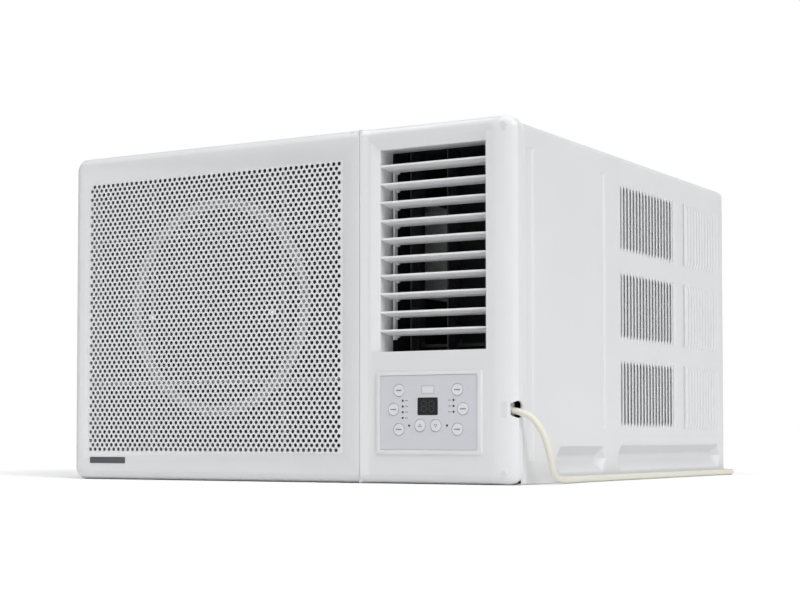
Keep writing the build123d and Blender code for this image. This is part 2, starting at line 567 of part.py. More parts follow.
with BuildPart() as fan_motor:
    rod_y(AXIS_X, MOTOR_Y0, MOTOR_Y1, AXIS_Z, MOTOR_R)
    fillet(fan_motor.edges().filter_by(GeomType.CIRCLE), 10)
    rod_y(AXIS_X, MOTOR_Y0 - 12, MOTOR_Y1 + 12, AXIS_Z, MOTOR_NECK_R)
    rod_y(AXIS_X, MOTOR_Y0 - 20, MOTOR_Y1 + 20, AXIS_Z, SHAFT_R + 0.06, mode=Mode.SUBTRACT)
save(fan_motor, "fan_motor")

with BuildPart() as motor_bracket:
    block(AXIS_X - BRACKET_HALF, AXIS_X + BRACKET_HALF, -110, -30, PAN_SHEET, 4)
    block(AXIS_X - BRACKET_HALF, AXIS_X + BRACKET_HALF, -72, -69, PAN_SHEET, AXIS_Z + 20)
    rod_y(AXIS_X, -80, -60, AXIS_Z, MOTOR_R, mode=Mode.SUBTRACT)
    for gusset_x in (AXIS_X - BRACKET_HALF + 1, AXIS_X + BRACKET_HALF - 3):
        block(gusset_x, gusset_x + 2, -105, -35, PAN_SHEET, 90)
save(motor_bracket, "motor_bracket")

with BuildPart() as fan_shroud:
    block(-INNER_X, INNER_X - 11, SHROUD_Y, SHROUD_Y + 2, PAN_SHEET, 418)
    rod_y(AXIS_X, 60, SHROUD_Y + 2, AXIS_Z, FAN_R + 8)
    rod_y(AXIS_X, 59, SHROUD_Y + 3, AXIS_Z, FAN_R + 5, mode=Mode.SUBTRACT)
save(fan_shroud, "fan_shroud")

with BuildPart() as bulkhead:
    block(-INNER_X, INNER_X, BULKHEAD_Y0, BULKHEAD_Y1, PAN_SHEET, 420)
    rod_y(AXIS_X, BULKHEAD_Y0 - 2, BULKHEAD_Y1 + 2, AXIS_Z, MOTOR_NECK_R, mode=Mode.SUBTRACT)
    rod_y(RISER_X, BULKHEAD_Y0 - 2, BULKHEAD_Y1 + 2, SUCTION_Z0, 2 * SUCTION_R, mode=Mode.SUBTRACT)
save(bulkhead, "bulkhead")

# ---------------------------------------------------------------- compressor and pipes
with BuildPart() as compressor:
    rod_z(COMP_X, COMP_Y, COMP_Z0, COMP_Z1, COMP_R)
    fillet(compressor.edges().filter_by(GeomType.CIRCLE), 28)
    rod_z(COMP_X, COMP_Y, 24, 28, 58)
    for foot in FEET:
        rod_z(COMP_X + FOOT_R * cos(foot), COMP_Y + FOOT_R * sin(foot), 24, 28, 16)
        arm = (COMP_X + 60 * cos(foot), COMP_Y + 60 * sin(foot), 26)
        with Locations(Location(arm, (0, 0, degrees(foot)))):
            Box(60, 28, 4)
    for foot in FEET:
        rod_z(COMP_X + FOOT_R * cos(foot), COMP_Y + FOOT_R * sin(foot), 20, 30, 5, mode=Mode.SUBTRACT)
save(compressor, "compressor")

with BuildPart() as compressor_grommets:
    for foot in FEET:
        foot_x = COMP_X + FOOT_R * cos(foot)
        foot_y = COMP_Y + FOOT_R * sin(foot)
        rod_z(foot_x, foot_y, PAN_SHEET, 24, 13)
        rod_z(foot_x, foot_y, 24, 34, 5)
save(compressor_grommets, "compressor_grommets")

with BuildPart() as refrigerant_pipes:
    # suction line from the evaporator to the compressor
    evap_out = (EVAP[1] + BEND_REACH, tube_columns(EVAP)[1], tube_rows(EVAP)[-1])
    with BuildLine():
        FilletPolyline(evap_out, (RISER_X, evap_out[1], evap_out[2]), (RISER_X, evap_out[1], SUCTION_Z0),
                       (RISER_X, -60, SUCTION_Z0), (RISER_X, -60, SUCTION_Z1), (RISER_X, COMP_Y, SUCTION_Z1),
                       (COMP_X - COMP_R, COMP_Y, SUCTION_Z1), radius=6)
    with BuildSketch(Plane(origin=evap_out, z_dir=(1, 0, 0))):
        Circle(SUCTION_R)
    sweep()
    # discharge line from the compressor's crown to the condenser
    cond_in = (COND[1] + BEND_REACH, tube_columns(COND)[0], tube_rows(COND)[-1])
    with BuildLine():
        FilletPolyline((COMP_X, COMP_Y, COMP_Z1), (COMP_X, COMP_Y, cond_in[2]),
                       (COMP_X, DISCHARGE_Y, cond_in[2]), (DISCHARGE_X, DISCHARGE_Y, cond_in[2]),
                       (DISCHARGE_X, cond_in[1], cond_in[2]), cond_in, radius=6)
    with BuildSketch(Plane(origin=(COMP_X, COMP_Y, COMP_Z1), z_dir=(0, 0, 1))):
        Circle(DISCHARGE_R)
    sweep()
save(refrigerant_pipes, "refrigerant_pipes")

# ---------------------------------------------------------------- chassis
with BuildPart() as base_pan:
    block(-PAN_X, PAN_X, PANEL_REAR + 3, REAR - 5, 0, PAN_HEIGHT)
    block(-PAN_X + PAN_SHEET, PAN_X - PAN_SHEET, PANEL_REAR + 3 + PAN_SHEET, REAR - 5 - PAN_SHEET,
          PAN_SHEET, PAN_HEIGHT + 1, mode=Mode.SUBTRACT)
    with GridLocations(2 * PAN_HOLES[0], 2 * PAN_HOLES[1], 2, 2):
        Cylinder(PAN_HOLES[2], 10, mode=Mode.SUBTRACT)
save(base_pan, "base_pan")

with BuildPart() as cabinet:
    with BuildSketch(face_plane(CAB_REAR)):
        with Locations((0, CAB_TOP / 2)):
            RectangleRounded(2 * CAB_X, CAB_TOP, CAB_CORNER)
    extrude(amount=CAB_REAR - PANEL_REAR)
    with BuildSketch(face_plane(CAB_REAR - SHEET)):
        with Locations((0, CAB_TOP / 2)):
            RectangleRounded(2 * (CAB_X - SHEET), CAB_TOP - 2 * SHEET, CAB_CORNER - SHEET)
    extrude(amount=REAR - PANEL_REAR, mode=Mode.SUBTRACT)
    # rear opening inside a narrow return lip, and the open underside
    block(-CAB_X + REAR_LIP, CAB_X - REAR_LIP, 0, REAR + 1, REAR_LIP, CAB_TOP - REAR_LIP,
          mode=Mode.SUBTRACT)
    block(-PAN_X, PAN_X, PANEL_REAR - 1, REAR + 1, -1, 13, mode=Mode.SUBTRACT)
    # stiffening ribs pressed into both side walls
    for side in (-1, 1):
        for rib_y0, rib_y1, rib_z0, rib_z1 in RIBS:
            wall_x = side * CAB_X
            inner_x = side * (CAB_X - SHEET - RIB_DEPTH)
            block(min(wall_x, inner_x), max(wall_x, inner_x), rib_y0 - 1, rib_y1 + 1, rib_z0 - 1, rib_z1 + 1)
            floor_x = side * (CAB_X - RIB_DEPTH)
            proud_x = side * (CAB_X + 1)
            block(min(floor_x, proud_x), max(floor_x, proud_x), rib_y0, rib_y1, rib_z0, rib_z1,
                  mode=Mode.SUBTRACT)
    # long V-shaped troughs near the bottom edge
    for side in (-1, 1):
        for trough_y0, trough_y1 in POCKETS:
            with BuildSketch(face_plane(trough_y1 + 1)):
                Polygon((side * CAB_X, TROUGH_Z0 - 2), (side * (CAB_X - POCKET_DEPTH - SHEET), TROUGH_MID),
                        (side * CAB_X, TROUGH_Z1 + 2), align=None)
            extrude(amount=trough_y1 - trough_y0 + 2)
            with BuildSketch(face_plane(trough_y1)):
                Polygon((side * (CAB_X + 0.01), TROUGH_Z0), (side * (CAB_X - POCKET_DEPTH), TROUGH_MID),
                        (side * (CAB_X + 0.01), TROUGH_Z1), align=None)
            extrude(amount=trough_y1 - trough_y0, mode=Mode.SUBTRACT)
    # louvre slots through both side walls
    for slot_y0, slot_y1, slots in (LOUVRE_A, LOUVRE_B):
        pitch = (slot_y1 - slot_y0) / slots
        for slot_z0, slot_z1 in LOUVRE_ROWS:
            with Locations((0, (slot_y0 + slot_y1) / 2, (slot_z0 + slot_z1) / 2)):
                with GridLocations(1, pitch, 1, slots):
                    Box(2 * CAB_X + 10, SLOT_WIDTH, slot_z1 - slot_z0, mode=Mode.SUBTRACT)
    # screw holes in the rear lip
    for side in (-1, 1):
        for screw_z in SCREW_ZS:
            rod_y(side * SCREW_X, CAB_REAR - 3, CAB_REAR + 1, screw_z, 2.0, mode=Mode.SUBTRACT)
save(cabinet, "cabinet")

with BuildPart() as screws:
    for side in (-1, 1):
        for screw_z in SCREW_ZS:
            rod_y(side * SCREW_X, CAB_REAR - 9, CAB_REAR, screw_z, 1.9)
            rod_y(side * SCREW_X, CAB_REAR, REAR, screw_z, 3.8)
save(screws, "screws")

# ---------------------------------------------------------------- electrics and power cord
with BuildPart() as control_box:
    block(*BOX)
    block(BOX[0] + BOX_SHEET, BOX[1] - BOX_SHEET, BOX[2] - 1, BOX[3] - BOX_SHEET, BOX[4] + BOX_SHEET,
          BOX[5] - BOX_SHEET, mode=Mode.SUBTRACT)
    # run capacitor strapped to the back wall
    cap_x, cap_y, cap_top, cap_r = CAPACITOR
    rod_z(cap_x, cap_y, BOX[4] + BOX_SHEET, cap_top, cap_r)
    block(cap_x - cap_r - 2, cap_x + cap_r + 2, cap_y - 6, cap_y - 2, 40, 46)
save(control_box, "control_box")


def corner_radii(route):
    """The widest arc that each corner of a route has room for."""
    radii = []
    for before, corner, after in zip(route, route[1:], route[2:]):
        run_in = Vector(corner) - Vector(before)
        run_out = Vector(after) - Vector(corner)
        half_turn = radians(run_in.get_angle(run_out)) / 2
        radii.append(0.45 * min(run_in.length, run_out.length) / tan(half_turn))
    return radii


# The cord leaves its clamp, passes the side notch, drops to the floor, runs back close along the
# right side, turns the rear corner and ends in the coil.
cord_route = [
    (302, CORD_Y, CORD_Z),
    (336, CORD_Y, CORD_Z),
    (358, -330, 64),
    (361, -317, 34),
    (354, -295, 11),
    (347, -262, CORD_R),
    (341, -200, CORD_R),
    (337, -110, CORD_R),
    (339, -10, CORD_R),
    (337, 90, CORD_R),
    (339, 190, CORD_R),
    (337, 275, CORD_R),
    (340, 338, CORD_R),
    (333, 370, CORD_R),
    (308, 388, CORD_R),
    (262, 388, CORD_R),
    (212, 381.5, CORD_R),
    (COIL_X + 14, COIL_Y - COIL_R, CORD_R),
]
cord_radii = corner_radii(cord_route)
print("cord radii", [round(r) for r in cord_radii])
with BuildPart() as power_cord:
    with BuildLine() as cord_path:
        FilletPolyline(*cord_route, radius=cord_radii)
    start = cord_path.wire() ^ 0
    with BuildSketch(Plane(origin=start.position, z_dir=cord_path.wire() % 0)):
        Circle(CORD_R)
    sweep()
print("cord length", round(cord_path.wire().length), "volume ratio",
      round(power_cord.part.volume / (cord_path.wire().length * 3.14159 * CORD_R**2), 4))
save(power_cord, "power_cord")

with BuildPart() as cord_coil:
    rod_z(COIL_X, COIL_Y, 0, 4 * CORD_R, COIL_R + 2 * CORD_R)
    rod_z(COIL_X, COIL_Y, -1, 4 * CORD_R + 1, COIL_R - 2 * CORD_R, mode=Mode.SUBTRACT)
    rod_x(COIL_X, PLUG_X, PLUG_Y, PLUG_Z, CORD_R)
save(cord_coil, "cord_coil")

with BuildPart() as plug:
    block(PLUG_X, PLUG_X + 40, PLUG_Y - 13, PLUG_Y + 13, 0, 2 * PLUG_Z)
    fillet(plug.edges().filter_by(Axis.X), 5)
    for blade_y in (PLUG_Y - 6.35, PLUG_Y + 6.35):
        block(PLUG_X + 40, PLUG_X + 58, blade_y - 0.8, blade_y + 0.8, PLUG_Z - 3, PLUG_Z + 3)
save(plug, "plug")
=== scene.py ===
# Window air conditioner, visual model. Metres in Blender; the shape code works in millimetres.
from math import ceil, cos, floor, hypot, pi, radians, sin

import bmesh
import bpy
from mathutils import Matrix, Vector


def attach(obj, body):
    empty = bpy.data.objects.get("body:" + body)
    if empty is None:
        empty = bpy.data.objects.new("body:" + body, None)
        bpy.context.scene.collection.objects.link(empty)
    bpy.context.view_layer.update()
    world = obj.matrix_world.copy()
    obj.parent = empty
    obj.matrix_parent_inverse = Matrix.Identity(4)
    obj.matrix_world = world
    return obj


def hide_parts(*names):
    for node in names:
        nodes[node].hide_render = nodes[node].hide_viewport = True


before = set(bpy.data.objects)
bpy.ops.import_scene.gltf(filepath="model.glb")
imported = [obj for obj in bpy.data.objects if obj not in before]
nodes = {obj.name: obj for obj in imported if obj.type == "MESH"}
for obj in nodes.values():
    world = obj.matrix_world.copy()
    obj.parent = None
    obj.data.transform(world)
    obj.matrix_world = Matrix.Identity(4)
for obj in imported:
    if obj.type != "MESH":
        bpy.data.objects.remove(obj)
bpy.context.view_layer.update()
MM = 0.001
SHARP = radians(32)
scene = bpy.context.scene

# ---------------------------------------------------------------- dimensions, mm
FRONT = -350.0
PANEL_REAR = -325.0
RING_Y = -336.0
DISH_Y = -347.5
GRILLE_REAR = -338.5
LEFT, RIGHT, TOP = -330.0, 330.0, 428.0
SEAM = 122.5
THROAT = (147.5, 294.0, 157.0, 401.0)
MOUTH = (136.8, 294.0, 157.0, 411.5)
COLLAR_REAR = -312.0
CTL_HOLE = (146.6, 288.5, 36.0, 131.5)
HINGE_Y, HINGE_Z = -339.5, 425.0
RAILS = ((22.0, 29.5), (410.5, 418.0))
PLUG_SPOTS = ((-194.935, 210.94), (-5.215, 210.94))
SCREEN = (-303.0, 99.0, 35.5, 392.5)
HOLE_PITCH, ROW_PITCH, ROWS = 7.905, 5.7213, 62
HOLE_R = 2.52
FIRST_HOLE = (-297.7, 39.3)
FILTER = (-318.0, 112.0, 30.0, 410.0)
FILTER_Y0, FILTER_Y1, RIB_Y0, RIB_Y1 = -334.0, -329.0, -333.8, -332.2
RING_X, RING_Z, RING_IN, RING_OUT = -100.0, 222.0, 126.0, 140.0
NET = (-310.0, 104.0, 38.0, 402.0)
NET_PITCH, NET_HALF = 3.2, 0.28
CTL = (145.6, 289.5, 35.0, 132.5)
CTL_TONGUE = (146.8, 288.3, 36.2, 131.3)
CTL_SEAT = -345.5
OVL = (151.4, 282.5, 40.2, 128.0)
OVL_Y = -348.6
BUTTON_FACE = -349.4
CTL_MID = 217.2
DISPLAY = (203.0, 230.6, 80.9, 101.8)
BUTTONS = {
    "power": (CTL_MID - 39.5, 110.5),
    "mode": (CTL_MID - 47.0, 88.0),
    "timer": (CTL_MID - 39.5, 64.2),
    "up": (CTL_MID - 10.6, 68.7),
    "down": (CTL_MID + 10.6, 68.7),
    "sleep": (CTL_MID + 39.5, 110.5),
    "fan": (CTL_MID + 47.0, 88.0),
    "swing": (CTL_MID + 39.5, 64.2),
}
LAMPS = [(side * 34.4, z) for side in (-1, 1) for z in (98.3, 91.4, 84.6)]
LAMPS += [(-34.4, 77.8), (-25.6, 68.7), (25.6, 68.7)]
CORD_Y, CORD_Z, CORD_HOLE_R = -334.5, 87.0, 10.0
COIL_X, COIL_Y = 150.0, 425.0
PLUG = (220.0, 469.0, 11.0)
CAB_X, CAB_TOP, CAB_REAR = 328.0, 423.5, 348.4
CAB_CORNER, FOOT_X = 10.0, 314.0
LOUVRE_END = 9.0
BAFFLE_BACK = 3.2
SCREW_X = 321.5
LOUVRE_ROWS = ((296.5, 387.5), (181.0, 273.0), (66.5, 157.0))
LOUVRE_IN = (-34.0, 149.0, 17)
LOUVRE_OUT = (192.5, 327.0, 12)
RIBS = ((-311.0, -290.0, 26.0, 396.5), (-98.0, -83.0, 65.5, 396.0))
TROUGHS = (
    ((-219.0, 44.0), (-234.0, 28.0), (-222.0, 12.0), (-94.0, 12.0), (-85.0, 28.0), (-91.0, 44.0)),
    ((-34.0, 45.0), (-50.0, 29.0), (-38.0, 12.0), (322.0, 12.0), (332.0, 29.0), (323.0, 45.0)),
)


# ---------------------------------------------------------------- materials
def material(name, colour, rough, metallic=0.0, tint=0.025, patch=9.0, grain=1400.0, bump=0.12,
             depth=0.00012, swing=0.06, coat=0.0, sheet="noise", specular=0.5):
    """A finish with patchy colour and gloss, and a fine surface grain."""
    mat = bpy.data.materials.new(name)
    mat.use_nodes = True
    tree = mat.node_tree
    shader = tree.nodes["Principled BSDF"]
    shader.inputs["Metallic"].default_value = metallic
    shader.inputs["Coat Weight"].default_value = coat
    shader.inputs["Specular IOR Level"].default_value = specular
    coords = tree.nodes.new("ShaderNodeTexCoord")
    patches = tree.nodes.new("ShaderNodeTexNoise")
    patches.inputs["Scale"].default_value = patch
    patches.inputs["Detail"].default_value = 3.0
    tree.links.new(coords.outputs["Object"], patches.inputs["Vector"])
    if sheet == "spangle":
        fine = tree.nodes.new("ShaderNodeTexVoronoi")
        fine_out = fine.outputs["Color"]
    elif sheet == "weave":
        fine = tree.nodes.new("ShaderNodeTexWave")
        fine_out = fine.outputs["Fac"]
    else:
        fine = tree.nodes.new("ShaderNodeTexNoise")
        fine.inputs["Detail"].default_value = 2.0
        fine_out = fine.outputs["Fac"]
    fine.inputs["Scale"].default_value = grain
    tree.links.new(coords.outputs["Object"], fine.inputs["Vector"])
    mix = tree.nodes.new("ShaderNodeMix")
    mix.data_type = "RGBA"
    mix.inputs["A"].default_value = [c * (1 - tint) for c in colour] + [1]
    mix.inputs["B"].default_value = [min(1, c * (1 + tint)) for c in colour] + [1]
    source = fine_out if sheet == "spangle" else patches.outputs["Fac"]
    tree.links.new(source, mix.inputs["Factor"])
    tree.links.new(mix.outputs["Result"], shader.inputs["Base Color"])
    gloss = tree.nodes.new("ShaderNodeMapRange")
    gloss.inputs["To Min"].default_value = max(0.02, rough - swing)
    gloss.inputs["To Max"].default_value = min(1, rough + swing)
    tree.links.new(patches.outputs["Fac"], gloss.inputs["Value"])
    tree.links.new(gloss.outputs["Result"], shader.inputs["Roughness"])
    dents = tree.nodes.new("ShaderNodeBump")
    dents.inputs["Strength"].default_value = bump
    dents.inputs["Distance"].default_value = depth
    tree.links.new(fine_out, dents.inputs["Height"])
    tree.links.new(dents.outputs["Normal"], shader.inputs["Normal"])
    return mat


M = {
    "panel_white": material("panel_white", (0.725, 0.73, 0.742), 0.36, coat=0.08),
    "overlay_grey": material("overlay_grey", (0.60, 0.615, 0.65), 0.3, grain=2400),
    "button_grey": material("button_grey", (0.70, 0.71, 0.735), 0.32, grain=2400),
    "print_grey": material("print_grey", (0.22, 0.23, 0.26), 0.4, tint=0.1),
    "display_black": material("display_black", (0.008, 0.008, 0.010), 0.08, bump=0.02, coat=0.6),
    "segment": material("segment", (0.045, 0.042, 0.045), 0.2, bump=0.02),
    "led_dark": material("led_dark", (0.02, 0.02, 0.022), 0.15, bump=0.02, coat=0.4),
    "cabinet_grey": material("cabinet_grey", (0.69, 0.695, 0.705), 0.42, grain=520, bump=0.16,
                             depth=0.00016),
    "galvanised": material("galvanised", (0.52, 0.53, 0.545), 0.38, metallic=0.85, tint=0.12,
                           grain=95, bump=0.05, sheet="spangle"),
    "duct_black": material("duct_black", (0.022, 0.022, 0.024), 0.7, grain=700, bump=0.3, tint=0.2),
    "blade_white": material("blade_white", (0.80, 0.805, 0.815), 0.3, coat=0.1),
    "vane_black": material("vane_black", (0.028, 0.028, 0.03), 0.5, tint=0.15),
    "filter_grey": material("filter_grey", (0.50, 0.51, 0.54), 0.5, tint=0.05),
    "mesh_grey": material("mesh_grey", (0.14, 0.145, 0.16), 0.6, tint=0.1, grain=3000, sheet="weave"),
    "fin_aluminium": material("fin_aluminium", (0.66, 0.67, 0.69), 0.3, metallic=0.9, tint=0.06,
                              grain=260, bump=0.2),
    "copper": material("copper", (0.66, 0.33, 0.2), 0.3, metallic=1.0, tint=0.16, patch=24,
                       grain=600, bump=0.08, swing=0.12),
    "fan_plastic": material("fan_plastic", (0.07, 0.07, 0.078), 0.46, tint=0.12, grain=800),
    "shaft_steel": material("shaft_steel", (0.52, 0.52, 0.54), 0.26, metallic=1.0, tint=0.07,
                            grain=1800, bump=0.1),
    "motor_black": material("motor_black", (0.025, 0.025, 0.03), 0.34, tint=0.2, grain=420,
                            bump=0.25, coat=0.2),
    "foam_white": material("foam_white", (0.80, 0.80, 0.79), 0.85, tint=0.05, grain=260, bump=0.7,
                           depth=0.0006, sheet="spangle"),
    "rubber_black": material("rubber_black", (0.02, 0.02, 0.02), 0.75, tint=0.25, bump=0.3),
    "board_green": material("board_green", (0.03, 0.15, 0.06), 0.35, tint=0.2, patch=80, coat=0.3),
    "screw_zinc": material("screw_zinc", (0.58, 0.58, 0.57), 0.3, metallic=1.0, tint=0.08),
    "cord_cream": material("cord_cream", (0.72, 0.70, 0.62), 0.48, tint=0.04, grain=900, bump=0.2),
    "badge_grey": material("badge_grey", (0.10, 0.105, 0.12), 0.28, metallic=0.4, tint=0.08,
                           grain=1600),
    "floor": material("floor", (0.94, 0.94, 0.94), 0.9, tint=0.004, patch=2, grain=60, bump=0.02),
}

NODE_SLOTS = {
    "grille_plugs": "blade_white", "vane_link": "vane_black", "swing_motor": "fan_plastic",
    "louver_link": "blade_white", "discharge_duct": "duct_black", "control_board": "board_green",
    "evaporator_tubes": "copper", "condenser_tubes": "copper", "refrigerant_pipes": "copper",
    "drain_tray": "foam_white", "blower_housing": "foam_white", "blower_wheel": "fan_plastic",
    "condenser_fan": "fan_plastic", "fan_shaft": "shaft_steel", "fan_motor": "motor_black",
    "motor_bracket": "galvanised", "fan_shroud": "galvanised", "bulkhead": "galvanised",
    "compressor": "motor_black", "compressor_grommets": "rubber_black", "base_pan": "galvanised",
    "control_box": "galvanised", "screws": "screw_zinc",
}
for i in range(1, 11):
    NODE_SLOTS[f"louver_blade_{i}"] = "blade_white"
for i in range(1, 4):
    NODE_SLOTS[f"vane_{i}"] = "vane_black"
for node, slot in NODE_SLOTS.items():
    nodes[node].data.materials.clear()
    nodes[node].data.materials.append(M[slot])


# ---------------------------------------------------------------- mesh helpers
class Shape:
    """Welded vertices and faces, in mm, that become one piece."""

    def __init__(self):
        self.verts = []
        self.faces = []
        self.marks = []
        self.index = {}

    def v(self, x, y, z):
        key = (round(x, 3), round(y, 3), round(z, 3))
        if key not in self.index:
            self.index[key] = len(self.verts)
            self.verts.append((x, y, z))
        return self.index[key]

    def face(self, points, mark=0):
        ids = []
        for p in points:
            i = p if isinstance(p, int) else self.v(*p)
            if i not in ids:
                ids.append(i)
        if len(ids) > 2:
            self.faces.append(ids)
            self.marks.append(mark)

    def bridge(self, a, b, mark=0, closed=True):
        n = len(a)
        for i in range(n if closed else n - 1):
            j = (i + 1) % n
            self.face((a[i], a[j], b[j], b[i]), mark)

    def cap(self, loop, mark=0):
        self.face(loop, mark)

    def box(self, x0, x1, y0, y1, z0, z1, mark=0):
        base = len(self.verts)
        for x in (x0, x1):
            for y in (y0, y1):
                for z in (z0, z1):
                    self.verts.append((x, y, z))
        for quad in ((0, 1, 3, 2), (4, 6, 7, 5), (0, 4, 5, 1), (2, 3, 7, 6), (0, 2, 6, 4), (1, 5, 7, 3)):
            self.faces.append([base + q for q in quad])
            self.marks.append(mark)

    def lathe(self, origin, axis, profile, sides=32, mark=0):
        """Turns (distance along, radius) pairs round an axis; a zero radius closes the end."""
        across = {"x": ("y", "z"), "y": ("x", "z"), "z": ("x", "y")}[axis]
        rings = []
        for along, radius in profile:
            ring = []
            base = len(self.verts)
            for k in range(sides if radius > 0 else 1):
                a = 2 * pi * k / sides
                p = {axis: along, across[0]: radius * cos(a), across[1]: radius * sin(a)}
                self.verts.append(tuple(p[c] + o for c, o in zip("xyz", origin)))
                ring.append(base + k)
            rings.append(ring)
        for a, b in zip(rings, rings[1:]):
            for k in range(sides):
                ids = []
                for i in (a[k % len(a)], a[(k + 1) % len(a)], b[(k + 1) % len(b)], b[k % len(b)]):
                    if i not in ids:
                        ids.append(i)
                if len(ids) > 2:
                    self.faces.append(ids)
                    self.marks.append(mark)

    def slab(self, outline, y0, y1, mark=0):
        """A flat plate between two depths with an (x, z) outline."""
        near = loop_at(self, outline, y0)
        far = loop_at(self, outline, y1)
        self.cap(near, mark)
        self.cap(far[::-1], mark)
        self.bridge(far, near, mark)


def rounded(x0, x1, z0, z1, radii, n=6):
    """(x, z) points anticlockwise from the lower left; radii run lower left, lower right, up."""
    if not isinstance(radii, tuple):
        radii = (radii,) * 4
    corners = ((x0, z0, 1, 1), (x1, z0, -1, 1), (x1, z1, -1, -1), (x0, z1, 1, -1))
    points = []
    for q, ((cx, cz, sx, sz), r) in enumerate(zip(corners, radii)):
        for k in range(n + 1):
            a = radians(180 + 90 * q + 90 * k / n)
            points.append((cx + sx * r + r * cos(a), cz + sz * r + r * sin(a)))
    return points


def rounded_normals(n=6):
    """The outward direction at each point that rounded() gives."""
    turns = [radians(180 + 90 * q + 90 * k / n) for q in range(4) for k in range(n + 1)]
    return [(cos(a), sin(a)) for a in turns]


def blended(a, b, t):
    return [(p[0] + (q[0] - p[0]) * t, p[1] + (q[1] - p[1]) * t) for p, q in zip(a, b)]


def loop_at(shape, spots, y):
    """The vertices of a loop of (x, z) points at one depth."""
    return [shape.v(x, y, z) for x, z in spots]


def circle(x, z, r, n=32):
    """(x, z) points round a circle."""
    return [(x + r * cos(2 * pi * k / n), z + r * sin(2 * pi * k / n)) for k in range(n)]


def fill(bm, loops, y, mark=0):
    """Fills flat loops at one depth, the first round the others, with triangles."""
    edges = []
    for loop in loops:
        ring = []
        for i, (x, z) in enumerate(loop):
            if hypot(x - loop[i - 1][0], z - loop[i - 1][1]) > 1e-4:
                ring.append(bm.verts.new((x * MM, y * MM, z * MM)))
        for a, b in zip(ring, ring[1:] + ring[:1]):
            edges.append(bm.edges.new((a, b)))
    made = bmesh.ops.triangle_fill(bm, edges=edges, use_beauty=True, use_dissolve=False)
    for g in made["geom"]:
        if isinstance(g, bmesh.types.BMFace):
            g.material_index = mark


def build(name, shape, mats, body, outward=None, fills=(), weld=0.00001, thick=0.0, bevel=0.0,
          angle=SHARP, smooth=True, even=True):
    """Makes the piece. outward is the direction that most of an open piece's faces look in."""
    bm = bmesh.new()
    made = [bm.verts.new((x * MM, y * MM, z * MM)) for x, y, z in shape.verts]
    for ids, mark in zip(shape.faces, shape.marks):
        try:
            f = bm.faces.new([made[i] for i in ids])
        except ValueError:
            continue
        f.material_index = mark
    for loops, y, mark in fills:
        fill(bm, loops, y, mark)
    bmesh.ops.remove_doubles(bm, verts=bm.verts, dist=weld)
    bmesh.ops.dissolve_degenerate(bm, edges=bm.edges, dist=1e-7)
    bmesh.ops.recalc_face_normals(bm, faces=bm.faces)
    if outward is not None:
        way = Vector(outward)
        if sum(f.normal.dot(way) * f.calc_area() for f in bm.faces) < 0:
            bmesh.ops.reverse_faces(bm, faces=bm.faces)
    mesh = bpy.data.meshes.new(name)
    bm.to_mesh(mesh)
    bm.free()
    if smooth:
        mesh.polygons.foreach_set("use_smooth", [True] * len(mesh.polygons))
        mesh.set_sharp_from_angle(angle=angle)
    for mat in mats:
        mesh.materials.append(M[mat])
    obj = bpy.data.objects.new(name, mesh)
    scene.collection.objects.link(obj)
    if thick:
        wall = obj.modifiers.new("wall", "SOLIDIFY")
        wall.thickness = thick * MM
        wall.offset = -1
        wall.use_even_offset = even
    if bevel:
        edge = obj.modifiers.new("edge", "BEVEL")
        edge.width = bevel * MM
        edge.segments = 2
        edge.limit_method = "ANGLE"
        edge.angle_limit = radians(40)
        edge.harden_normals = True
    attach(obj, body)
    return obj


def baked(obj):
    """Applies the object's modifiers."""
    graph = bpy.context.evaluated_depsgraph_get()
    mesh = bpy.data.meshes.new_from_object(obj.evaluated_get(graph))
    obj.modifiers.clear()
    obj.data = mesh
    return obj


# ---------------------------------------------------------------- camera
camera_data = bpy.data.cameras.new("camera")
camera_data.sensor_width = 36
camera_data.lens = 76.77
camera_data.shift_y = 0.0851
camera = bpy.data.objects.new("camera", camera_data)
camera.location = (1.211708, -2.091155, 0.054134)
camera.rotation_euler = (radians(92.345), 0, radians(30.65))
scene.collection.objects.link(camera)
scene.camera = camera

# ---------------------------------------------------------------- power cord
ROUTE = [
    (0.302, -0.3345, 0.087), (0.336, -0.3345, 0.087), (0.358, -0.330, 0.064),
    (0.361, -0.317, 0.034), (0.354, -0.295, 0.011), (0.347, -0.262, 0.004),
    (0.341, -0.200, 0.004), (0.337, -0.110, 0.004), (0.339, -0.010, 0.004),
    (0.337, 0.090, 0.004), (0.339, 0.190, 0.004), (0.337, 0.275, 0.004),
    (0.340, 0.338, 0.004), (0.333, 0.370, 0.004), (0.308, 0.388, 0.004),
    (0.262, 0.388, 0.004), (0.212, 0.3795, 0.004), (0.172, 0.3765, 0.004),
]
CORD_WIDTH = 0.008


def eased(value, start, end):
    """0 before start, 1 after end, smooth between."""
    t = min(1, max(0, (value - start) / (end - start)))
    return t * t * (3 - 2 * t)


for step in range(0, 46):
    degrees = 90 + 20 * step
    radius = 0.048 - 0.008 * eased(degrees, 385, 450) + 0.004 * eased(degrees, 740, 775)
    height = 0.004 + 0.008 * eased(degrees, 680, 745)
    a = radians(degrees)
    ROUTE.append((COIL_X * MM + radius * cos(a), COIL_Y * MM - radius * sin(a), height))
ROUTE += [(0.170, 0.469, 0.0115), (0.195, 0.469, 0.011), (0.221, 0.469, 0.011)]

cord_data = bpy.data.curves.new("power_cord", "CURVE")
cord_data.dimensions = "3D"
line = cord_data.splines.new("NURBS")
line.points.add(len(ROUTE) - 1)
for point, place in zip(line.points, ROUTE):
    point.co = (*place, 1)
line.order_u = 3
line.use_endpoint_u = True
line.resolution_u = 8
cord_data.bevel_depth = CORD_WIDTH / 2
cord_data.bevel_resolution = 5
cord_data.use_fill_caps = True
cord_data.materials.append(M["cord_cream"])
cord = bpy.data.objects.new("power_cord_lead", cord_data)
scene.collection.objects.link(cord)
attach(cord, "chassis")
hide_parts("power_cord", "cord_coil")

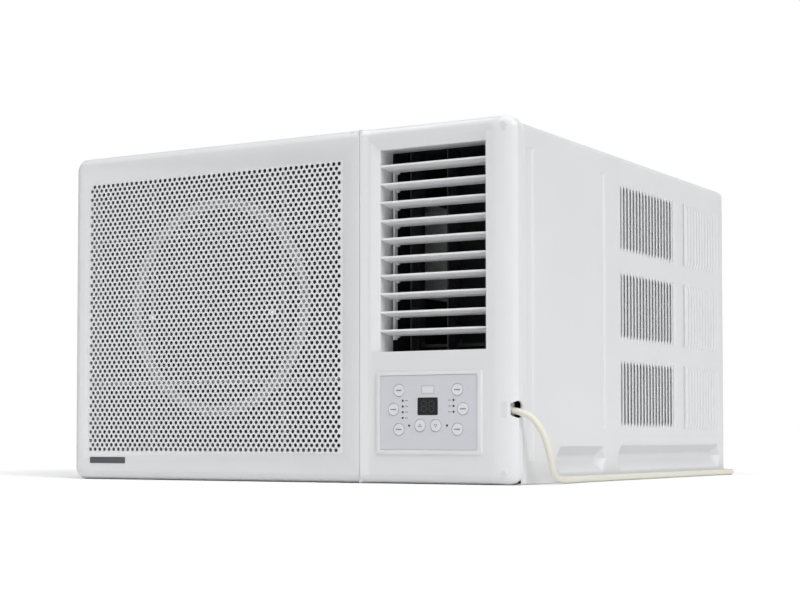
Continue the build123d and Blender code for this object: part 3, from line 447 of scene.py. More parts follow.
# plug: a rounded body with grip ribs, a short neck, two blades and an earth pin
plug_x, plug_y, plug_z = PLUG
plug_shape = Shape()
sections = [(-6, 4.6, 4.6), (0, 5.0, 5.0), (2, 7.5, 6.5), (6, 10.5, 8.2), (9, 11.2, 8.6)]
for rib in range(5):
    x = 11 + rib * 3.0
    sections += [(x, 11.6, 9.0), (x + 0.5, 10.9, 8.3), (x + 1.4, 10.9, 8.3), (x + 1.9, 11.7, 9.1)]
sections += [(28, 12.2, 9.8), (34, 12.9, 10.6), (38.6, 12.9, 10.8), (40, 12.3, 10.2)]
rings = []
for x, half_y, half_z in sections:
    ring = []
    for k in range(28):
        a = 2 * pi * k / 28
        bulge = 1 / (abs(cos(a)) ** 3.2 + abs(sin(a)) ** 3.2) ** (1 / 3.2)
        ring.append(plug_shape.v(plug_x + x, plug_y + half_y * bulge * cos(a),
                                 plug_z + half_z * bulge * sin(a)))
    rings.append(ring)
for a, b in zip(rings, rings[1:]):
    plug_shape.bridge(a, b)
plug_shape.cap(rings[0])
plug_shape.cap(rings[-1])
for blade_y in (plug_y - 6.35, plug_y + 6.35):
    plug_shape.box(259.5, 277.5, blade_y - 0.75, blade_y + 0.75, plug_z, 17, mark=1)
plug_shape.lathe((0, plug_y, 6.2), "x", [(259.5, 0), (259.5, 2.4), (276, 2.4), (277.6, 1.5), (277.6, 0)],
                 sides=20, mark=1)
plug = build("plug_body", plug_shape, ["cord_cream", "shaft_steel"], "chassis", bevel=0.3)
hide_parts("plug")

# tie round the coil
tie_shape = Shape()
tie_path = [(-53.6, 4.2), (-52.0, 8.0), (-48.0, 14.0), (-44.0, 16.0), (-40.0, 14.0), (-36.0, 8.0),
            (-34.6, 4.2), (-36.5, 0.7), (-40.0, 0.1), (-44, 0.05), (-48.0, 0.1), (-51.5, 0.7)]
mid_r, mid_z = -44.0, 7.0
rings = []
for across, grow in ((-3, 0), (-3, -1.0), (3, -1.0), (3, 0), (2.4, 0.15), (-2.4, 0.15)):
    ring = []
    for r, z in tie_path:
        length = hypot(r - mid_r, z - mid_z)
        k = (length + grow) / length
        ring.append(tie_shape.v(COIL_X + mid_r + (r - mid_r) * k, COIL_Y + across,
                                max(0.02, mid_z + (z - mid_z) * k)))
    rings.append(ring)
for a, b in zip(rings, rings[1:] + rings[:1]):
    tie_shape.bridge(a, b)
tie = build("cord_tie", tie_shape, ["rubber_black"], "chassis")

# ---------------------------------------------------------------- front moulding, right section
N = 6
SLOPE = (124.0, 136.5)
slope_xs = [SLOPE[0] + (SLOPE[1] - SLOPE[0]) * k / 8 for k in range(9)]
ways = rounded_normals(N)
mouth = rounded(*MOUTH, (0.4, 0.4, 1.2, 2.5), N)
throat = rounded(*THROAT, (0.4, 0.4, 1.0, 1.5), N)
ctl_hole = rounded(*CTL_HOLE, 1.5, N)


def face_y(x):
    """Depth of the right section's face, which eases back from the seam."""
    return FRONT + (DISH_Y - FRONT) * eased(x, *SLOPE)


def flat_y(x):
    return FRONT


def section_loop(x0, x1, z0, z1, r, n=8):
    """A loop with stations across the slope, and the outward direction at each point."""
    xs = [x0, *slope_xs[1:]]
    points = [(x, z0) for x in xs]
    outward = [(0, -1)] * len(xs)
    for cz, start, sz in ((z0, 270, 1), (z1, 0, -1)):
        for k in range(n + 1):
            a = radians(start + 90 * k / n)
            points.append((x1 - r + r * cos(a), cz + sz * r + r * sin(a)))
            outward.append((cos(a), sin(a)))
    points += [(x, z1) for x in reversed(xs)] + [(x0, z1), (x0, z0)]
    outward += [(0, 1)] * len(xs) + [(-1, 0)] * 2
    return points, outward


def rolled_edge(shape, outer, inner, ways, rear, face, most=12.0, steps=9, chamfer=0.35):
    """Wall from the rear edge, then a soft roll over to the face. Returns the inner loop."""
    spans = [abs((q[0] - p[0]) * w[0] + (q[1] - p[1]) * w[1]) for p, q, w in zip(outer, inner, ways)]
    depths = [min(most, span) for span in spans]
    last = [shape.v(x, rear, z) for x, z in outer]
    for k in range(steps + 1):
        u = k / steps
        a = pi / 2 * u
        spots = blended(outer, inner, (1 - chamfer) * (1 - cos(a)) + chamfer * u)
        drop = (1 - chamfer) * (1 - sin(a)) + chamfer * (1 - u)
        loop = [shape.v(x, face(q[0]) + d * drop, z) for (x, z), d, q in zip(spots, depths, inner)]
        shape.bridge(last, loop)
        last = loop
    flat = blended(outer, inner, 1.06)
    shape.bridge(last, [shape.v(x, face(x), z) for x, z in flat])
    return flat


front = Shape()
edge_out, edge_ways = section_loop(122.9, RIGHT, 0, TOP, 15)
edge_in, _ = section_loop(123.6, 304.0, 11, 418.8, 6)
edge_flat = rolled_edge(front, edge_out, edge_in, edge_ways, PANEL_REAR, face_y)
base_z, crown_z, seam_side = edge_flat[0][1], edge_flat[-2][1], edge_flat[0][0]
for xa, xb in zip([seam_side, *slope_xs[1:]], slope_xs[1:]):
    front.face([(x, face_y(x), z) for x, z in ((xa, base_z), (xb, base_z), (xb, crown_z), (xa, crown_z))])
flat_part = edge_flat[8:28]
lip = loop_at(front, mouth, DISH_Y)
for t, y in ((0.06, DISH_Y + 0.15), (0.94, -341.7), (1.0, -341.2)):
    loop = loop_at(front, blended(mouth, throat, t), y)
    front.bridge(lip, loop)
    lip = loop
front.bridge(lip, loop_at(front, throat, COLLAR_REAR))
front.bridge(loop_at(front, ctl_hole, DISH_Y), loop_at(front, ctl_hole, DISH_Y + 2.0))
moulding = build("front_moulding", front, ["panel_white"], "chassis", outward=(0, -1, 0),
                 fills=[([flat_part, mouth, ctl_hole], DISH_Y, 0)], thick=2.0, even=False)
baked(moulding)

# round hole for the cord, cut through the right wall
cutter = Shape()
cutter.lathe((0, CORD_Y, CORD_Z), "x",
             [(322, 0), (322, CORD_HOLE_R), (334, CORD_HOLE_R), (334, 0)], sides=40)
knife = build("knife", cutter, ["panel_white"], "chassis")
cut = moulding.modifiers.new("hole", "BOOLEAN")
cut.operation = "DIFFERENCE"
cut.solver = "EXACT"
cut.object = knife
bpy.context.view_layer.update()
baked(moulding)
bpy.data.objects.remove(knife)
moulding.data.set_sharp_from_angle(angle=SHARP)
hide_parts("front_frame")

# ring, back plate, filter rails, hinge lugs, bosses and cord clamp behind the face
core = Shape()


def ring_loop(x0, x1, z0, z1, corner):
    """A ring outline with two extra points at the ends of the filter slot."""
    return rounded(x0, x1, z0, z1, (corner, 1, 1, corner), N) + [(x0, RAILS[1][0]), (x0, RAILS[0][1])]


outer_ring = ring_loop(LEFT, SEAM, 0, TOP, 15)
inner_ring = ring_loop(LEFT + 3, SEAM - 2, 3, TOP - 3, 12)
slot_from = len(outer_ring) - 2
SLOT_Y0, SLOT_Y1 = -335.2, -327.0
levels = (RING_Y, SLOT_Y0, SLOT_Y1, PANEL_REAR)
for level, (y0, y1) in enumerate(zip(levels, levels[1:])):
    for i in range(len(outer_ring)):
        j = (i + 1) % len(outer_ring)
        if level == 1 and i == slot_from:
            continue
        (ax, az), (bx, bz) = outer_ring[i], outer_ring[j]
        (cx, cz), (dx, dz) = inner_ring[i], inner_ring[j]
        core.face(((ax, y0, az), (bx, y0, bz), (bx, y1, bz), (ax, y1, az)))
        core.face(((cx, y1, cz), (dx, y1, dz), (dx, y0, dz), (cx, y0, cz)))
for y, slot_only in ((RING_Y, False), (PANEL_REAR, False), (SLOT_Y0, True), (SLOT_Y1, True)):
    for i in range(len(outer_ring)):
        j = (i + 1) % len(outer_ring)
        if slot_only and i != slot_from:
            continue
        core.face([(outer_ring[i][0], y, outer_ring[i][1]), (outer_ring[j][0], y, outer_ring[j][1]),
                   (inner_ring[j][0], y, inner_ring[j][1]), (inner_ring[i][0], y, inner_ring[i][1])])
for z in (RAILS[1][0], RAILS[0][1]):
    core.face(((LEFT, SLOT_Y0, z), (LEFT, SLOT_Y1, z), (LEFT + 3, SLOT_Y1, z), (LEFT + 3, SLOT_Y0, z)))
for x0, x1, z0, z1 in ((-327.4, 121.5, 3, 40), (-327.4, 121.5, 400, 425), (-327.4, -300, 40, 400),
                       (100, 121.5, 40, 400)):
    core.box(x0, x1, SLOT_Y1, PANEL_REAR, z0, z1)
for z0, z1 in RAILS:
    core.box(-327.4, 118, RING_Y, SLOT_Y1, z0, z1)
for lug_x, pin_x in ((-306.0, -312.0), (104.0, 110.0)):
    core.lathe((lug_x, HINGE_Y, HINGE_Z), "x", [(-3, 0), (-3, 3), (3, 3), (3, 0)])
    core.box(lug_x - 3, lug_x + 3, HINGE_Y, RING_Y + 2, HINGE_Z - 3, HINGE_Z + 2)
    ends = (min(lug_x - 2, pin_x - 3), max(lug_x + 2, pin_x + 3))
    core.lathe((0, HINGE_Y, HINGE_Z), "x", [(ends[0], 0), (ends[0], 1.5), (ends[1], 1.5), (ends[1], 0)])
core.box(302, 320, -346, SLOT_Y1, CORD_Z - 8, CORD_Z + 8)
for boss_x, boss_y in ((-318.0, RING_Y), (316.0, -346.0)):
    for boss_z in (12.0, TOP - 12.0):
        core.lathe((boss_x, 0, boss_z), "y",
                   [(boss_y, 0), (boss_y, 4), (PANEL_REAR, 4), (PANEL_REAR, 1.8), (-334, 1.8), (-334, 0)])
inner_frame = build("front_inner_frame", core, ["panel_white"], "chassis", bevel=0.3)
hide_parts("front_frame")

# ---------------------------------------------------------------- inlet grille
grille_out = rounded(LEFT, SEAM - 0.05, 0, TOP, (15, 0.6, 0.6, 15), N)
grille_in = rounded(-318, 121.8, 11, 418.8, (8, 0.6, 0.6, 8), N)
field = rounded(*SCREEN, 0.0, 1)
recess = rounded(-299.0, -238.5, 20.5, 29.5, 1.2, N)
grille = Shape()
grille_flat = rolled_edge(grille, grille_out, grille_in, ways, GRILLE_REAR, flat_y, most=11.0)
floor_loop = loop_at(grille, recess, FRONT + 0.5)
grille.bridge(loop_at(grille, recess, FRONT), floor_loop)
grille.cap(floor_loop)
grille_shell = build("grille_moulding", grille, ["panel_white"], "grille", outward=(0, -1, 0),
                     fills=[([grille_flat, field, recess], FRONT, 0)], thick=2.2, even=False)
eyes = Shape()
for eye_x in (-312.5, 110.5):
    eyes.lathe((eye_x, HINGE_Y, HINGE_Z), "x",
               [(-2.8, 1.56), (-2.8, 3.0), (2.8, 3.0), (2.8, 1.56), (-2.8, 1.56)])
    eyes.box(eye_x - 2.6, eye_x + 2.6, -346.5, -342.2, 422, 426.5)
for x0, x1, z0, z1 in ((-307, 103, 31.5, 35.4), (-307, 103, 392.6, 396.5), (-307, -303.1, 35.4, 392.6),
                       (99.1, 103, 35.4, 392.6)):
    eyes.box(x0, x1, -348.5, -346.0, z0, z1)
for rib_z in (100, 160, 285, 345):
    eyes.box(-320, -303.5, -347.9, -343, rib_z - 0.8, rib_z + 0.8)
    eyes.box(99.5, 119.5, -347.9, -343, rib_z - 0.8, rib_z + 0.8)
grille_eyes = build("grille_fittings", eyes, ["panel_white"], "grille", bevel=0.2)
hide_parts("grille_panel")
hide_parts("grille_panel")

# perforated field: staggered round holes cut through a flat plate
plate = Shape()
NEAR_Y, FAR_Y = FRONT, FRONT + 0.9


def both(points):
    plate.face([(x, NEAR_Y, z) for x, z in points])
    plate.face([(x, FAR_Y, z) for x, z in reversed(points)])


half = HOLE_PITCH / 2
stations = [FIRST_HOLE[0] + half * (i - 1) for i in range(102)]
row_edges = [FIRST_HOLE[1] + (k - 0.5) * ROW_PITCH for k in range(ROWS + 1)]
for k in range(ROWS):
    z0, z1 = row_edges[k], row_edges[k + 1]
    zc = (z0 + z1) / 2
    odd = k % 2
    spare = 0 if odd else 100
    both([(stations[spare], z0), (stations[spare + 1], z0), (stations[spare + 1], z1), (stations[spare], z1)])
    for j in range(50):
        left, mid, right = stations[2 * j + odd], stations[2 * j + 1 + odd], stations[2 * j + 2 + odd]
        hole = [(mid + HOLE_R * cos(radians(30 * i)), zc + HOLE_R * sin(radians(30 * i)))
                for i in range(12)]
        both([hole[1], (right, z1), (mid, z1), hole[3], hole[2]][::-1])
        both([hole[3], (mid, z1), (left, z1), hole[5], hole[4]][::-1])
        both([hole[5], (left, z1), (left, z0), hole[7], hole[6]][::-1])
        both([hole[7], (left, z0), (mid, z0), hole[9], hole[8]][::-1])
        both([hole[9], (mid, z0), (right, z0), hole[11], hole[10]][::-1])
        both([hole[11], (right, z0), (right, z1), hole[1], hole[0]][::-1])
        for a, b in zip(hole, hole[1:] + hole[:1]):
            plate.face(((a[0], NEAR_Y, a[1]), (b[0], NEAR_Y, b[1]), (b[0], FAR_Y, b[1]), (a[0], FAR_Y, a[1])))
x_line = [SCREEN[0], *stations, SCREEN[1]]
z_line = [SCREEN[2], *row_edges, SCREEN[3]]
for a, b in zip(x_line, x_line[1:]):
    both([(a, z_line[0]), (b, z_line[0]), (b, z_line[1]), (a, z_line[1])])
    both([(a, z_line[-2]), (b, z_line[-2]), (b, z_line[-1]), (a, z_line[-1])])
    for z in (z_line[0], z_line[-1]):
        plate.face(((a, NEAR_Y, z), (b, NEAR_Y, z), (b, FAR_Y, z), (a, FAR_Y, z)))
for a, b in zip(z_line, z_line[1:]):
    if a != z_line[0] and b != z_line[-1]:
        both([(x_line[0], a), (x_line[1], a), (x_line[1], b), (x_line[0], b)])
        both([(x_line[-2], a), (x_line[-1], a), (x_line[-1], b), (x_line[-2], b)])
    for x in (x_line[0], x_line[-1]):
        plate.face(((x, NEAR_Y, a), (x, NEAR_Y, b), (x, FAR_Y, b), (x, FAR_Y, a)))
screen = build("grille_perforated_field", plate, ["panel_white"], "grille", weld=1e-6)
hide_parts("grille_screen")

# push-in plugs with a soft dome
caps = Shape()
for x, z in PLUG_SPOTS:
    caps.lathe((x, 0, z), "y", [(-348.4, 0), (-348.4, 2.1), (-349.5, 2.15), (-349.8, 1.8),
                                (-349.95, 1.0), (-349.97, 0)], sides=24)
plugs = build("grille_plug_caps", caps, ["blade_white"], "grille")
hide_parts("grille_plugs")

# blank badge with softened edges
mark = Shape()
mark.slab(rounded(-298.5, -239.0, 21.0, 29.0, 1.0, 4), FRONT + 0.05, FRONT + 0.5)
badge = build("badge_plate", mark, ["badge_grey"], "grille", bevel=0.12)
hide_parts("badge")

# ---------------------------------------------------------------- air filter
frame_shape = Shape()
outer = rounded(*FILTER, 6, 4)
inner = rounded(*NET, 3, 4)

for a, b, ya, yb in ((outer, inner, FILTER_Y0, FILTER_Y0), (inner, outer, FILTER_Y1, FILTER_Y1),
                     (outer, outer, FILTER_Y1, FILTER_Y0), (inner, inner, FILTER_Y0, FILTER_Y1)):
    frame_shape.bridge(loop_at(frame_shape, a, ya), loop_at(frame_shape, b, yb))
RING_REAR = -332.0
for r0, r1, ya, yb in ((RING_IN, RING_OUT, FILTER_Y0, FILTER_Y0), (RING_OUT, RING_IN, RING_REAR, RING_REAR),
                       (RING_IN, RING_IN, FILTER_Y0, RING_REAR), (RING_OUT, RING_OUT, FILTER_Y0, RING_REAR)):
    frame_shape.bridge(loop_at(frame_shape, circle(RING_X, RING_Z, r0, 72), ya),
                       loop_at(frame_shape, circle(RING_X, RING_Z, r1, 72), yb))
for x in (-206.5, 0.5):
    frame_shape.box(x - 1.6, x + 1.6, RIB_Y0, RIB_Y1, NET[2] - 1, NET[3] + 1)
for z in (126.0, 318.0):
    frame_shape.box(NET[0] - 1, NET[1] + 1, RIB_Y0, RIB_Y1, z - 1.6, z + 1.6)
frame_shape.box(-328.3, FILTER[0] + 0.4, FILTER_Y0, FILTER_Y1 - 1, 190, 250)
filter_rim = build("filter_frame_moulding", frame_shape, ["filter_grey"], "filter", bevel=0.25)
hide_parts("filter_frame")

net = Shape()
for i in range(int((NET[1] - NET[0] - 2) / NET_PITCH)):
    x = NET[0] + 1 + NET_PITCH * (i + 0.5)
    net.box(x - NET_HALF, x + NET_HALF, -331.75, -331.45, NET[2], NET[3])
for i in range(int((NET[3] - NET[2]) / NET_PITCH)):
    z = NET[2] + NET_PITCH * (i + 0.5)
    net.box(NET[0], NET[1], -331.55, -331.25, z - NET_HALF, z + NET_HALF)
net_piece = build("filter_net", net, ["mesh_grey"], "filter", smooth=False)
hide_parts("filter_mesh")

# ---------------------------------------------------------------- control panel
bezel = Shape()
outer = rounded(*CTL, 3.0, N)
inner = rounded(OVL[0] - 0.3, OVL[1] + 0.3, OVL[2] - 0.3, OVL[3] + 0.3, 2.0, N)
tongue = rounded(*CTL_TONGUE, 1.5, N)
steps = [(outer, DISH_Y), (outer, -348.6), (blended(outer, inner, 0.05), -349.0),
         (blended(outer, inner, 0.12), -349.2), (blended(outer, inner, 0.9), -349.2),
         (blended(outer, inner, 0.97), -349.05), (inner, -348.8), (inner, CTL_SEAT),
         (tongue, CTL_SEAT), (tongue, DISH_Y), (outer, DISH_Y)]
for (spots, y), (next_spots, next_y) in zip(steps, steps[1:]):
    bezel.bridge(loop_at(bezel, spots, y), loop_at(bezel, next_spots, next_y))
bezel_piece = build("control_bezel_ring", bezel, ["panel_white"], "chassis")
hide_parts("control_bezel")


overlay = Shape()
sheet_edge = rounded(*OVL, 1.8, N)
display_hole = rounded(*DISPLAY, 1.6, N)
holes = [circle(x, z, 7.6) for x, z in BUTTONS.values()]
holes += [circle(CTL_MID + x, z, 1.45, 16) for x, z in LAMPS]
holes.append(display_hole)
for loop in [sheet_edge, *holes]:
    overlay.bridge(loop_at(overlay, loop, OVL_Y), loop_at(overlay, loop, OVL_Y + 1.7))
for x, z in LAMPS:
    side = 1 if x > 0 else -1
    if abs(x) > 30:
        cx = CTL_MID + x - side * 5.2
        overlay.slab(rounded(cx - 2.0, cx + 2.0, z - 0.5, z + 0.5, 0.2, 2), OVL_Y - 0.03, OVL_Y + 0.2, 1)
overlay.slab(rounded(208.0, 226.3, 105.6, 116.4, 1.2, 4), OVL_Y - 0.03, OVL_Y + 0.2, 2)
overlay.slab(rounded(209.6, 224.7, 107.2, 114.8, 0.8, 4), OVL_Y - 0.06, OVL_Y + 0.2, 3)
overlay_piece = build("control_overlay_sheet", overlay,
                      ["overlay_grey", "print_grey", "filter_grey", "button_grey"], "chassis",
                      fills=[([sheet_edge, *holes], OVL_Y, 0), ([sheet_edge, *holes], OVL_Y + 1.7, 0)])
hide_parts("control_overlay")

glass = Shape()
pane = rounded(DISPLAY[0] + 0.1, DISPLAY[1] - 0.1, DISPLAY[2] + 0.1, DISPLAY[3] - 0.1, 1.5, N)
glass.slab(pane, OVL_Y + 0.05, OVL_Y + 1.6)
for cx in (211.6, 222.0):
    for sz in (85.2, 91.3, 97.4):
        glass.slab(rounded(cx - 2.4, cx + 2.4, sz - 0.45, sz + 0.45, 0.4, 3), OVL_Y + 0.02, OVL_Y + 0.3, 1)
    for sx in (cx - 3.2, cx + 3.2):
        for sz in (88.25, 94.35):
            glass.slab(rounded(sx - 0.45, sx + 0.45, sz - 2.4, sz + 2.4, 0.4, 3),
                       OVL_Y + 0.02, OVL_Y + 0.3, 1)
pane_piece = build("display_glass", glass, ["display_black", "segment"], "chassis")
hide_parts("display_window")

lamps = Shape()
for x, z in LAMPS:
    lamps.lathe((CTL_MID + x, 0, z), "y", [(OVL_Y + 1.6, 0), (OVL_Y + 1.6, 1.35), (OVL_Y + 0.3, 1.35),
                                           (OVL_Y, 1.1), (OVL_Y - 0.15, 0.5), (OVL_Y - 0.18, 0)], sides=20)
lamp_piece = build("led_domes", lamps, ["led_dark"], "chassis")
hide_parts("led_lenses")

for name, (x, z) in BUTTONS.items():
    key = Shape()
    key.lathe((x, 0, z), "y", [
        (-341.9, 0), (-341.9, 2.4), (-345.4, 2.5), (-345.4, 8.1), (-346.4, 8.2), (-346.4, 7.0),
        (BUTTON_FACE + 0.55, 7.0), (BUTTON_FACE + 0.2, 6.85), (BUTTON_FACE + 0.03, 6.45),
        (BUTTON_FACE, 5.9), (BUTTON_FACE + 0.12, 4.6), (BUTTON_FACE + 0.2, 2.5), (BUTTON_FACE + 0.22, 0)],
        sides=48)
    print_y = BUTTON_FACE + 0.1
    if name in ("up", "down"):
        tip = 1 if name == "up" else -1
        outline = [(x - 2.6, z - tip * 1.6), (x + 2.6, z - tip * 1.6), (x, z + tip * 2.5)]
        small = [(x - 1.5, z - tip * 1.0), (x + 1.5, z - tip * 1.0), (x, z + tip * 1.35)]
        tube = [loop_at(key, outline, print_y), loop_at(key, small, print_y),
                loop_at(key, small, print_y + 0.25), loop_at(key, outline, print_y + 0.25)]
        for a, b in zip(tube, tube[1:] + tube[:1]):
            key.bridge(a, b, 1)
    else:
        key.slab(rounded(x - 3.8, x + 3.8, z - 0.75, z + 0.75, 0.3, 2), print_y, print_y + 0.3, 1)
    key_piece = build(f"key_{name}", key, ["button_grey", "print_grey"], f"button_{name}")
    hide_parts(f"button_{name}")


# ---------------------------------------------------------------- steel cabinet
def edge_distance(y, z, outline):
    """How far inside a convex outline a point is."""
    least = 1e9
    n = len(outline)
    for i in range(n):
        ay, az = outline[i]
        by, bz = outline[(i + 1) % n]
        length = hypot(by - ay, bz - az)
        d = ((by - ay) * (z - az) - (bz - az) * (y - ay)) / length
        least = min(least, d)
    return least


def press(y, z):
    """Depth of the pressed ribs and troughs at a point of the side wall."""
    depth = 0.0
    for y0, y1, z0, z1 in RIBS:
        inside = min(y - y0, y1 - y, z - z0, z1 - z)
        if inside > 0:
            depth = max(depth, 2.2 * eased(inside, 0, 3.6))
    for outline in TROUGHS:
        inside = edge_distance(y, z, outline)
        if inside > 0:
            depth = max(depth, 11.0 * (1 - (1 - min(1, inside / 13.0)) ** 1.35))
    return depth


y_lines = {-325.0, CAB_REAR - 2.0}
for y0, y1, z0, z1 in RIBS:
    y_lines |= {y0 - 0.6, *(y0 + 0.9 * k for k in range(5)), *(y1 - 0.9 * k for k in range(5)), y1 + 0.6}
for outline in TROUGHS:
    ys = [p[0] for p in outline]
    y_lines |= {min(ys) + 2.0 * k for k in range(-1, 16)} | {max(ys) - 2.0 * k for k in range(-1, 14)}
for y0, y1, count in (LOUVRE_IN, LOUVRE_OUT):
    pitch = (y1 - y0) / count
    y_lines |= {y0 + pitch * (k + t) for k in range(count) for t in (0, 0.35, 0.7)} | {y1}
z_lines = {2.0, 413.5}
for y0, y1, z0, z1 in RIBS:
    z_lines |= {z0 - 0.6, *(z0 + 0.9 * k for k in range(5)), *(z1 - 0.9 * k for k in range(5)), z1 + 0.6}
z_lines |= {11.0 + 1.5 * k for k in range(24)}
for z0, z1 in LOUVRE_ROWS:
    ramp_steps = [LOUVRE_END * t for t in (0, 0.25, 0.5, 0.75, 1)]
    z_lines |= {z0 + step for step in ramp_steps} | {z1 - step for step in ramp_steps}


def spread(lines, most):
    """Sorted lines, near-duplicates dropped and wide gaps divided."""
    out = []
    for value in sorted(lines):
        if out and value - out[-1] < 0.3:
            continue
        if out and value - out[-1] > most:
            gap = value - out[-1]
            parts = ceil(gap / most)
            start = out[-1]
            out += [start + gap * k / parts for k in range(1, parts)]
        out.append(value)
    return out


strips = {round(y0 + (y1 - y0) / count * k, 4)
          for y0, y1, count in (LOUVRE_IN, LOUVRE_OUT) for k in range(count + 1)}
fixed_z = {z for row in LOUVRE_ROWS for z in row}
loose_y = [y for y in y_lines if all(abs(y - s) > 0.31 for s in strips)]
Y = spread(set(loose_y) | strips, 14.0)
loose_z = [z for z in z_lines if all(abs(z - s) > 0.31 for s in fixed_z)]
Z = spread(set(loose_z) | fixed_z, 14.0)

cab = Shape()


def lanced(y, z, bank, strip, row):
    """Depth of a louvre strip: one bank opens to the front, the other to the rear."""
    y0, y1, count = bank
    pitch = (y1 - y0) / count
    z0, z1 = row
    along = max(0, min(1, (y - (y0 + strip * pitch)) / pitch))
    ramp = eased(min(z - z0, z1 - z), 0, LOUVRE_END)
    if bank is LOUVRE_IN:
        return ramp * (0.8 - 2.75 * (1 - along))
    return ramp * (1.2 - 3.1 * (1 - (1 - along) ** 1.6))


for side in (-1, 1):
    for ya, yb in zip(Y, Y[1:]):
        ym = (ya + yb) / 2
        bank = None
        strip = 0
        for candidate in (LOUVRE_IN, LOUVRE_OUT):
            if candidate[0] < ym < candidate[1]:
                bank = candidate
                strip = floor((ym - bank[0]) / (bank[1] - bank[0]) * bank[2])
        for za, zb in zip(Z, Z[1:]):
            zm = (za + zb) / 2
            row = next((r for r in LOUVRE_ROWS if r[0] < zm < r[1]), None)
            corners = []
            for y, z in ((ya, za), (yb, za), (yb, zb), (ya, zb)):
                if bank and row:
                    d = lanced(y, z, bank, strip, row)
                else:
                    d = press(y, z)
                corners.append((side * (CAB_X - d), y, z))
            cab.face(corners)
    # rain baffle behind each opening of the front bank
    for row in LOUVRE_ROWS:
        for strip in range(LOUVRE_IN[2]):
            pitch = (LOUVRE_IN[1] - LOUVRE_IN[0]) / LOUVRE_IN[2]
            y = LOUVRE_IN[0] + pitch * strip + BAFFLE_BACK
            for k in range(8):
                za = row[0] + LOUVRE_END / 2 + (row[1] - row[0] - LOUVRE_END) * k / 8
                zb = row[0] + LOUVRE_END / 2 + (row[1] - row[0] - LOUVRE_END) * (k + 1) / 8
                corners = ((3.0, za), (0.6, za), (0.6, zb), (3.0, zb))
                cab.face([(side * (CAB_X - d), y, z) for d, z in corners])

# bends and lips: under the side walls, over the top, and round the rear opening
BEND = 2.0


def over_top():
    """Profile points from the top of the right wall to the top of the left wall, with normals."""
    points = []
    r = CAB_CORNER
    for k in range(9):
        a = pi / 2 * k / 8
        points.append((CAB_X - r + r * cos(a), CAB_TOP - r + r * sin(a), cos(a), sin(a), True))
    for k in range(1, 24):
        points.append((CAB_X - r - (2 * CAB_X - 2 * r) * k / 24, CAB_TOP, 0, 1, False))
    for k in range(9):
        a = pi / 2 + pi / 2 * k / 8
        points.append((-CAB_X + r + r * cos(a), CAB_TOP - r + r * sin(a), cos(a), sin(a), True))
    return points


def inset(point, d):
    """A profile point moved inward by d; corners shrink to their centre at most."""
    x, z, nx, nz, corner = point
    if corner:
        keep = max(0, CAB_CORNER - d)
        cx, cz = x - CAB_CORNER * nx, z - CAB_CORNER * nz
        slip = max(0, d - CAB_CORNER)
        return (cx + keep * nx - slip * (1 if cx > 0 else -1), cz + keep * nz - slip)
    return (x - nx * d, z - nz * d)


crown = over_top()
for p, q in zip(crown, crown[1:]):
    for ya, yb in zip(Y, Y[1:]):
        cab.face(((p[0], ya, p[1]), (q[0], ya, q[1]), (q[0], yb, q[1]), (p[0], yb, p[1])))
right_wall = [(CAB_X, z, 1, 0, False) for z in Z]
left_wall = [(-CAB_X, z, -1, 0, False) for z in reversed(Z)]
profile = right_wall + crown[1:-1] + left_wall
quarter = [pi / 2 * k / 4 for k in range(5)]
turns = [(BEND * (1 - cos(a)), CAB_REAR - BEND + BEND * sin(a)) for a in quarter]
turns += [(5.0, CAB_REAR), (12.0, CAB_REAR)]
for (da, ya), (db, yb) in zip(turns, turns[1:]):
    for p, q in zip(profile, profile[1:]):
        (ax, az), (bx, bz) = inset(p, da), inset(q, da)
        (cx, cz), (dx, dz) = inset(q, db), inset(p, db)
        cab.face(((ax, ya, az), (bx, ya, bz), (cx, yb, cz), (dx, yb, dz)))
for side in (-1, 1):
    foot = [(side * (CAB_X - BEND * (1 - cos(a))), BEND - BEND * sin(a)) for a in quarter]
    foot.append((side * FOOT_X, 0.0))
    for (ax, az), (bx, bz) in zip(foot, foot[1:]):
        for ya, yb in zip(Y, Y[1:]):
            cab.face(((ax, ya, az), (ax, yb, az), (bx, yb, bz), (bx, ya, bz)))
cabinet = build("cabinet_shell", cab, ["cabinet_grey"], "chassis", thick=1.1, angle=radians(38))
probe = cabinet.data.polygons[0]
away = probe.normal.x * (1 if probe.center.x > 0 else -1)
if away < 0:
    cabinet.data.flip_normals()
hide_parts("cabinet")

# screws of the rear lip; the cross recess is not cut but painted as a thin near-black cross, painted shade
# for the recess
heads = Shape()
for side in (-1, 1):
    for z in (60.0, 214.0, 370.0):
        x = side * SCREW_X
        heads.lathe((x, 0, z), "y", [(CAB_REAR - 8, 0), (CAB_REAR - 8, 1.6), (CAB_REAR, 1.9),
                                     (CAB_REAR, 3.8), (CAB_REAR + 0.5, 3.7), (CAB_REAR + 1.1, 2.9),
                                     (CAB_REAR + 1.35, 1.5), (CAB_REAR + 1.4, 0)], sides=24)
        # thin near-black cross standing just proud of the head: painted shade in place of a cross recess
        heads.box(x - 2.0, x + 2.0, CAB_REAR + 1.0, CAB_REAR + 1.45, z - 0.35, z + 0.35, mark=1)
        heads.box(x - 0.35, x + 0.35, CAB_REAR + 1.0, CAB_REAR + 1.45, z - 2.0, z + 2.0, mark=1)
screw_piece = build("screw_heads", heads, ["screw_zinc", "led_dark"], "chassis")
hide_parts("screws")


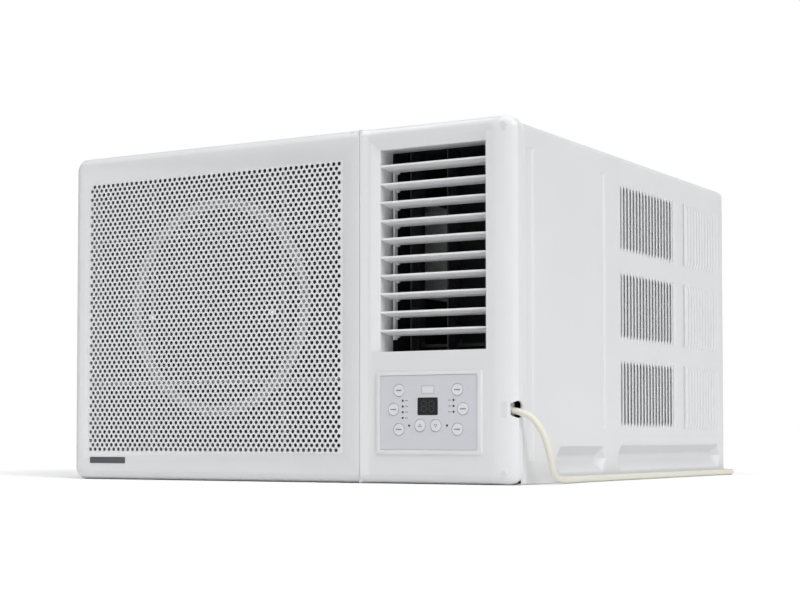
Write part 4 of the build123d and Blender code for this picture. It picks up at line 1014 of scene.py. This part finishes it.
# ---------------------------------------------------------------- coils
def fin_pack(name, node, x0, x1, y0, y1, z0, z1, pitch):
    """Thin corrugated sheets side by side along X."""
    pack = Shape()
    count = int((x1 - x0) / pitch)
    depth = [y0 + (y1 - y0) * k / 6 for k in range(7)]
    for i in range(count + 1):
        x = x0 + (x1 - x0) * i / count
        wave = [x + (0.45 if k % 2 else -0.45) * (1 if 0 < i < count else 0) for k in range(7)]
        for (xa, ya), (xb, yb) in zip(zip(wave, depth), list(zip(wave, depth))[1:]):
            pack.face(((xa, ya, z0), (xb, yb, z0), (xb, yb, z1), (xa, ya, z1)))
    piece = build(name, pack, ["fin_aluminium"], "chassis", thick=0.16, smooth=False)
    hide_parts(node)
    return piece


fin_pack("evaporator_fin_pack", "evaporator_fins", -289.8, 94.8, -312, -262, 40, 395, 2.4)
fin_pack("condenser_fin_pack", "condenser_fins", -294.8, 289.8, 290, 335, 1.5, 405, 2.4)

# ---------------------------------------------------------------- floor, light, world
TILE, FLOOR_Z = 1500, -0.3
ground = Shape()
for i in range(12):
    for j in range(12):
        x0, y0 = TILE * (i - 6), TILE * (j - 6)
        ground.face(((x0, y0, FLOOR_Z), (x0 + TILE, y0, FLOOR_Z), (x0 + TILE, y0 + TILE, FLOOR_Z),
                     (x0, y0 + TILE, FLOOR_Z)))
floor_mesh = bpy.data.meshes.new("studio_floor")
floor_mesh.from_pydata([(x * MM, y * MM, z * MM) for x, y, z in ground.verts], [], ground.faces)
floor_mesh.materials.append(M["floor"])
studio_floor = bpy.data.objects.new("studio_floor", floor_mesh)
scene.collection.objects.link(studio_floor)


def area_light(name, place, target, size, power):
    data = bpy.data.lights.new(name, "AREA")
    data.shape = "RECTANGLE"
    data.size, data.size_y = size
    data.energy = power
    lamp = bpy.data.objects.new(name, data)
    lamp.location = place
    lamp.rotation_mode = "QUATERNION"
    lamp.rotation_quaternion = (Vector(target) - Vector(place)).to_track_quat("-Z", "Y")
    scene.collection.objects.link(lamp)


def sun_light(name, direction, strength, softness):
    data = bpy.data.lights.new(name, "SUN")
    data.energy = strength
    data.angle = radians(softness)
    lamp = bpy.data.objects.new(name, data)
    lamp.rotation_mode = "QUATERNION"
    lamp.rotation_quaternion = Vector(direction).to_track_quat("-Z", "Y")
    scene.collection.objects.link(lamp)


sun_light("key_light", (-0.693, 0.345, -0.633), 1.6, 30)
sun_light("overhead_light", (0.05, 0.05, -1), 1.75, 60)
area_light("left_light", (-3.2, -2.2, 1.8), (0, 0, 0.2), (2.0, 2.4), 1)

world = bpy.data.worlds.new("studio")
scene.world = world
world.use_nodes = True
sky = world.node_tree.nodes["Background"]
sky.inputs["Color"].default_value = (1, 1, 1, 1)
sky.inputs["Strength"].default_value = 0.3
backdrop = world.node_tree.nodes.new("ShaderNodeBackground")
backdrop.inputs["Color"].default_value = (1, 1, 1, 1)
ray = world.node_tree.nodes.new("ShaderNodeLightPath")
choice = world.node_tree.nodes.new("ShaderNodeMixShader")
world.node_tree.links.new(ray.outputs["Is Camera Ray"], choice.inputs["Fac"])
world.node_tree.links.new(sky.outputs["Background"], choice.inputs[1])
world.node_tree.links.new(backdrop.outputs["Background"], choice.inputs[2])
world.node_tree.links.new(choice.outputs["Shader"], world.node_tree.nodes["World Output"].inputs["Surface"])
scene.view_settings.view_transform = "Standard"
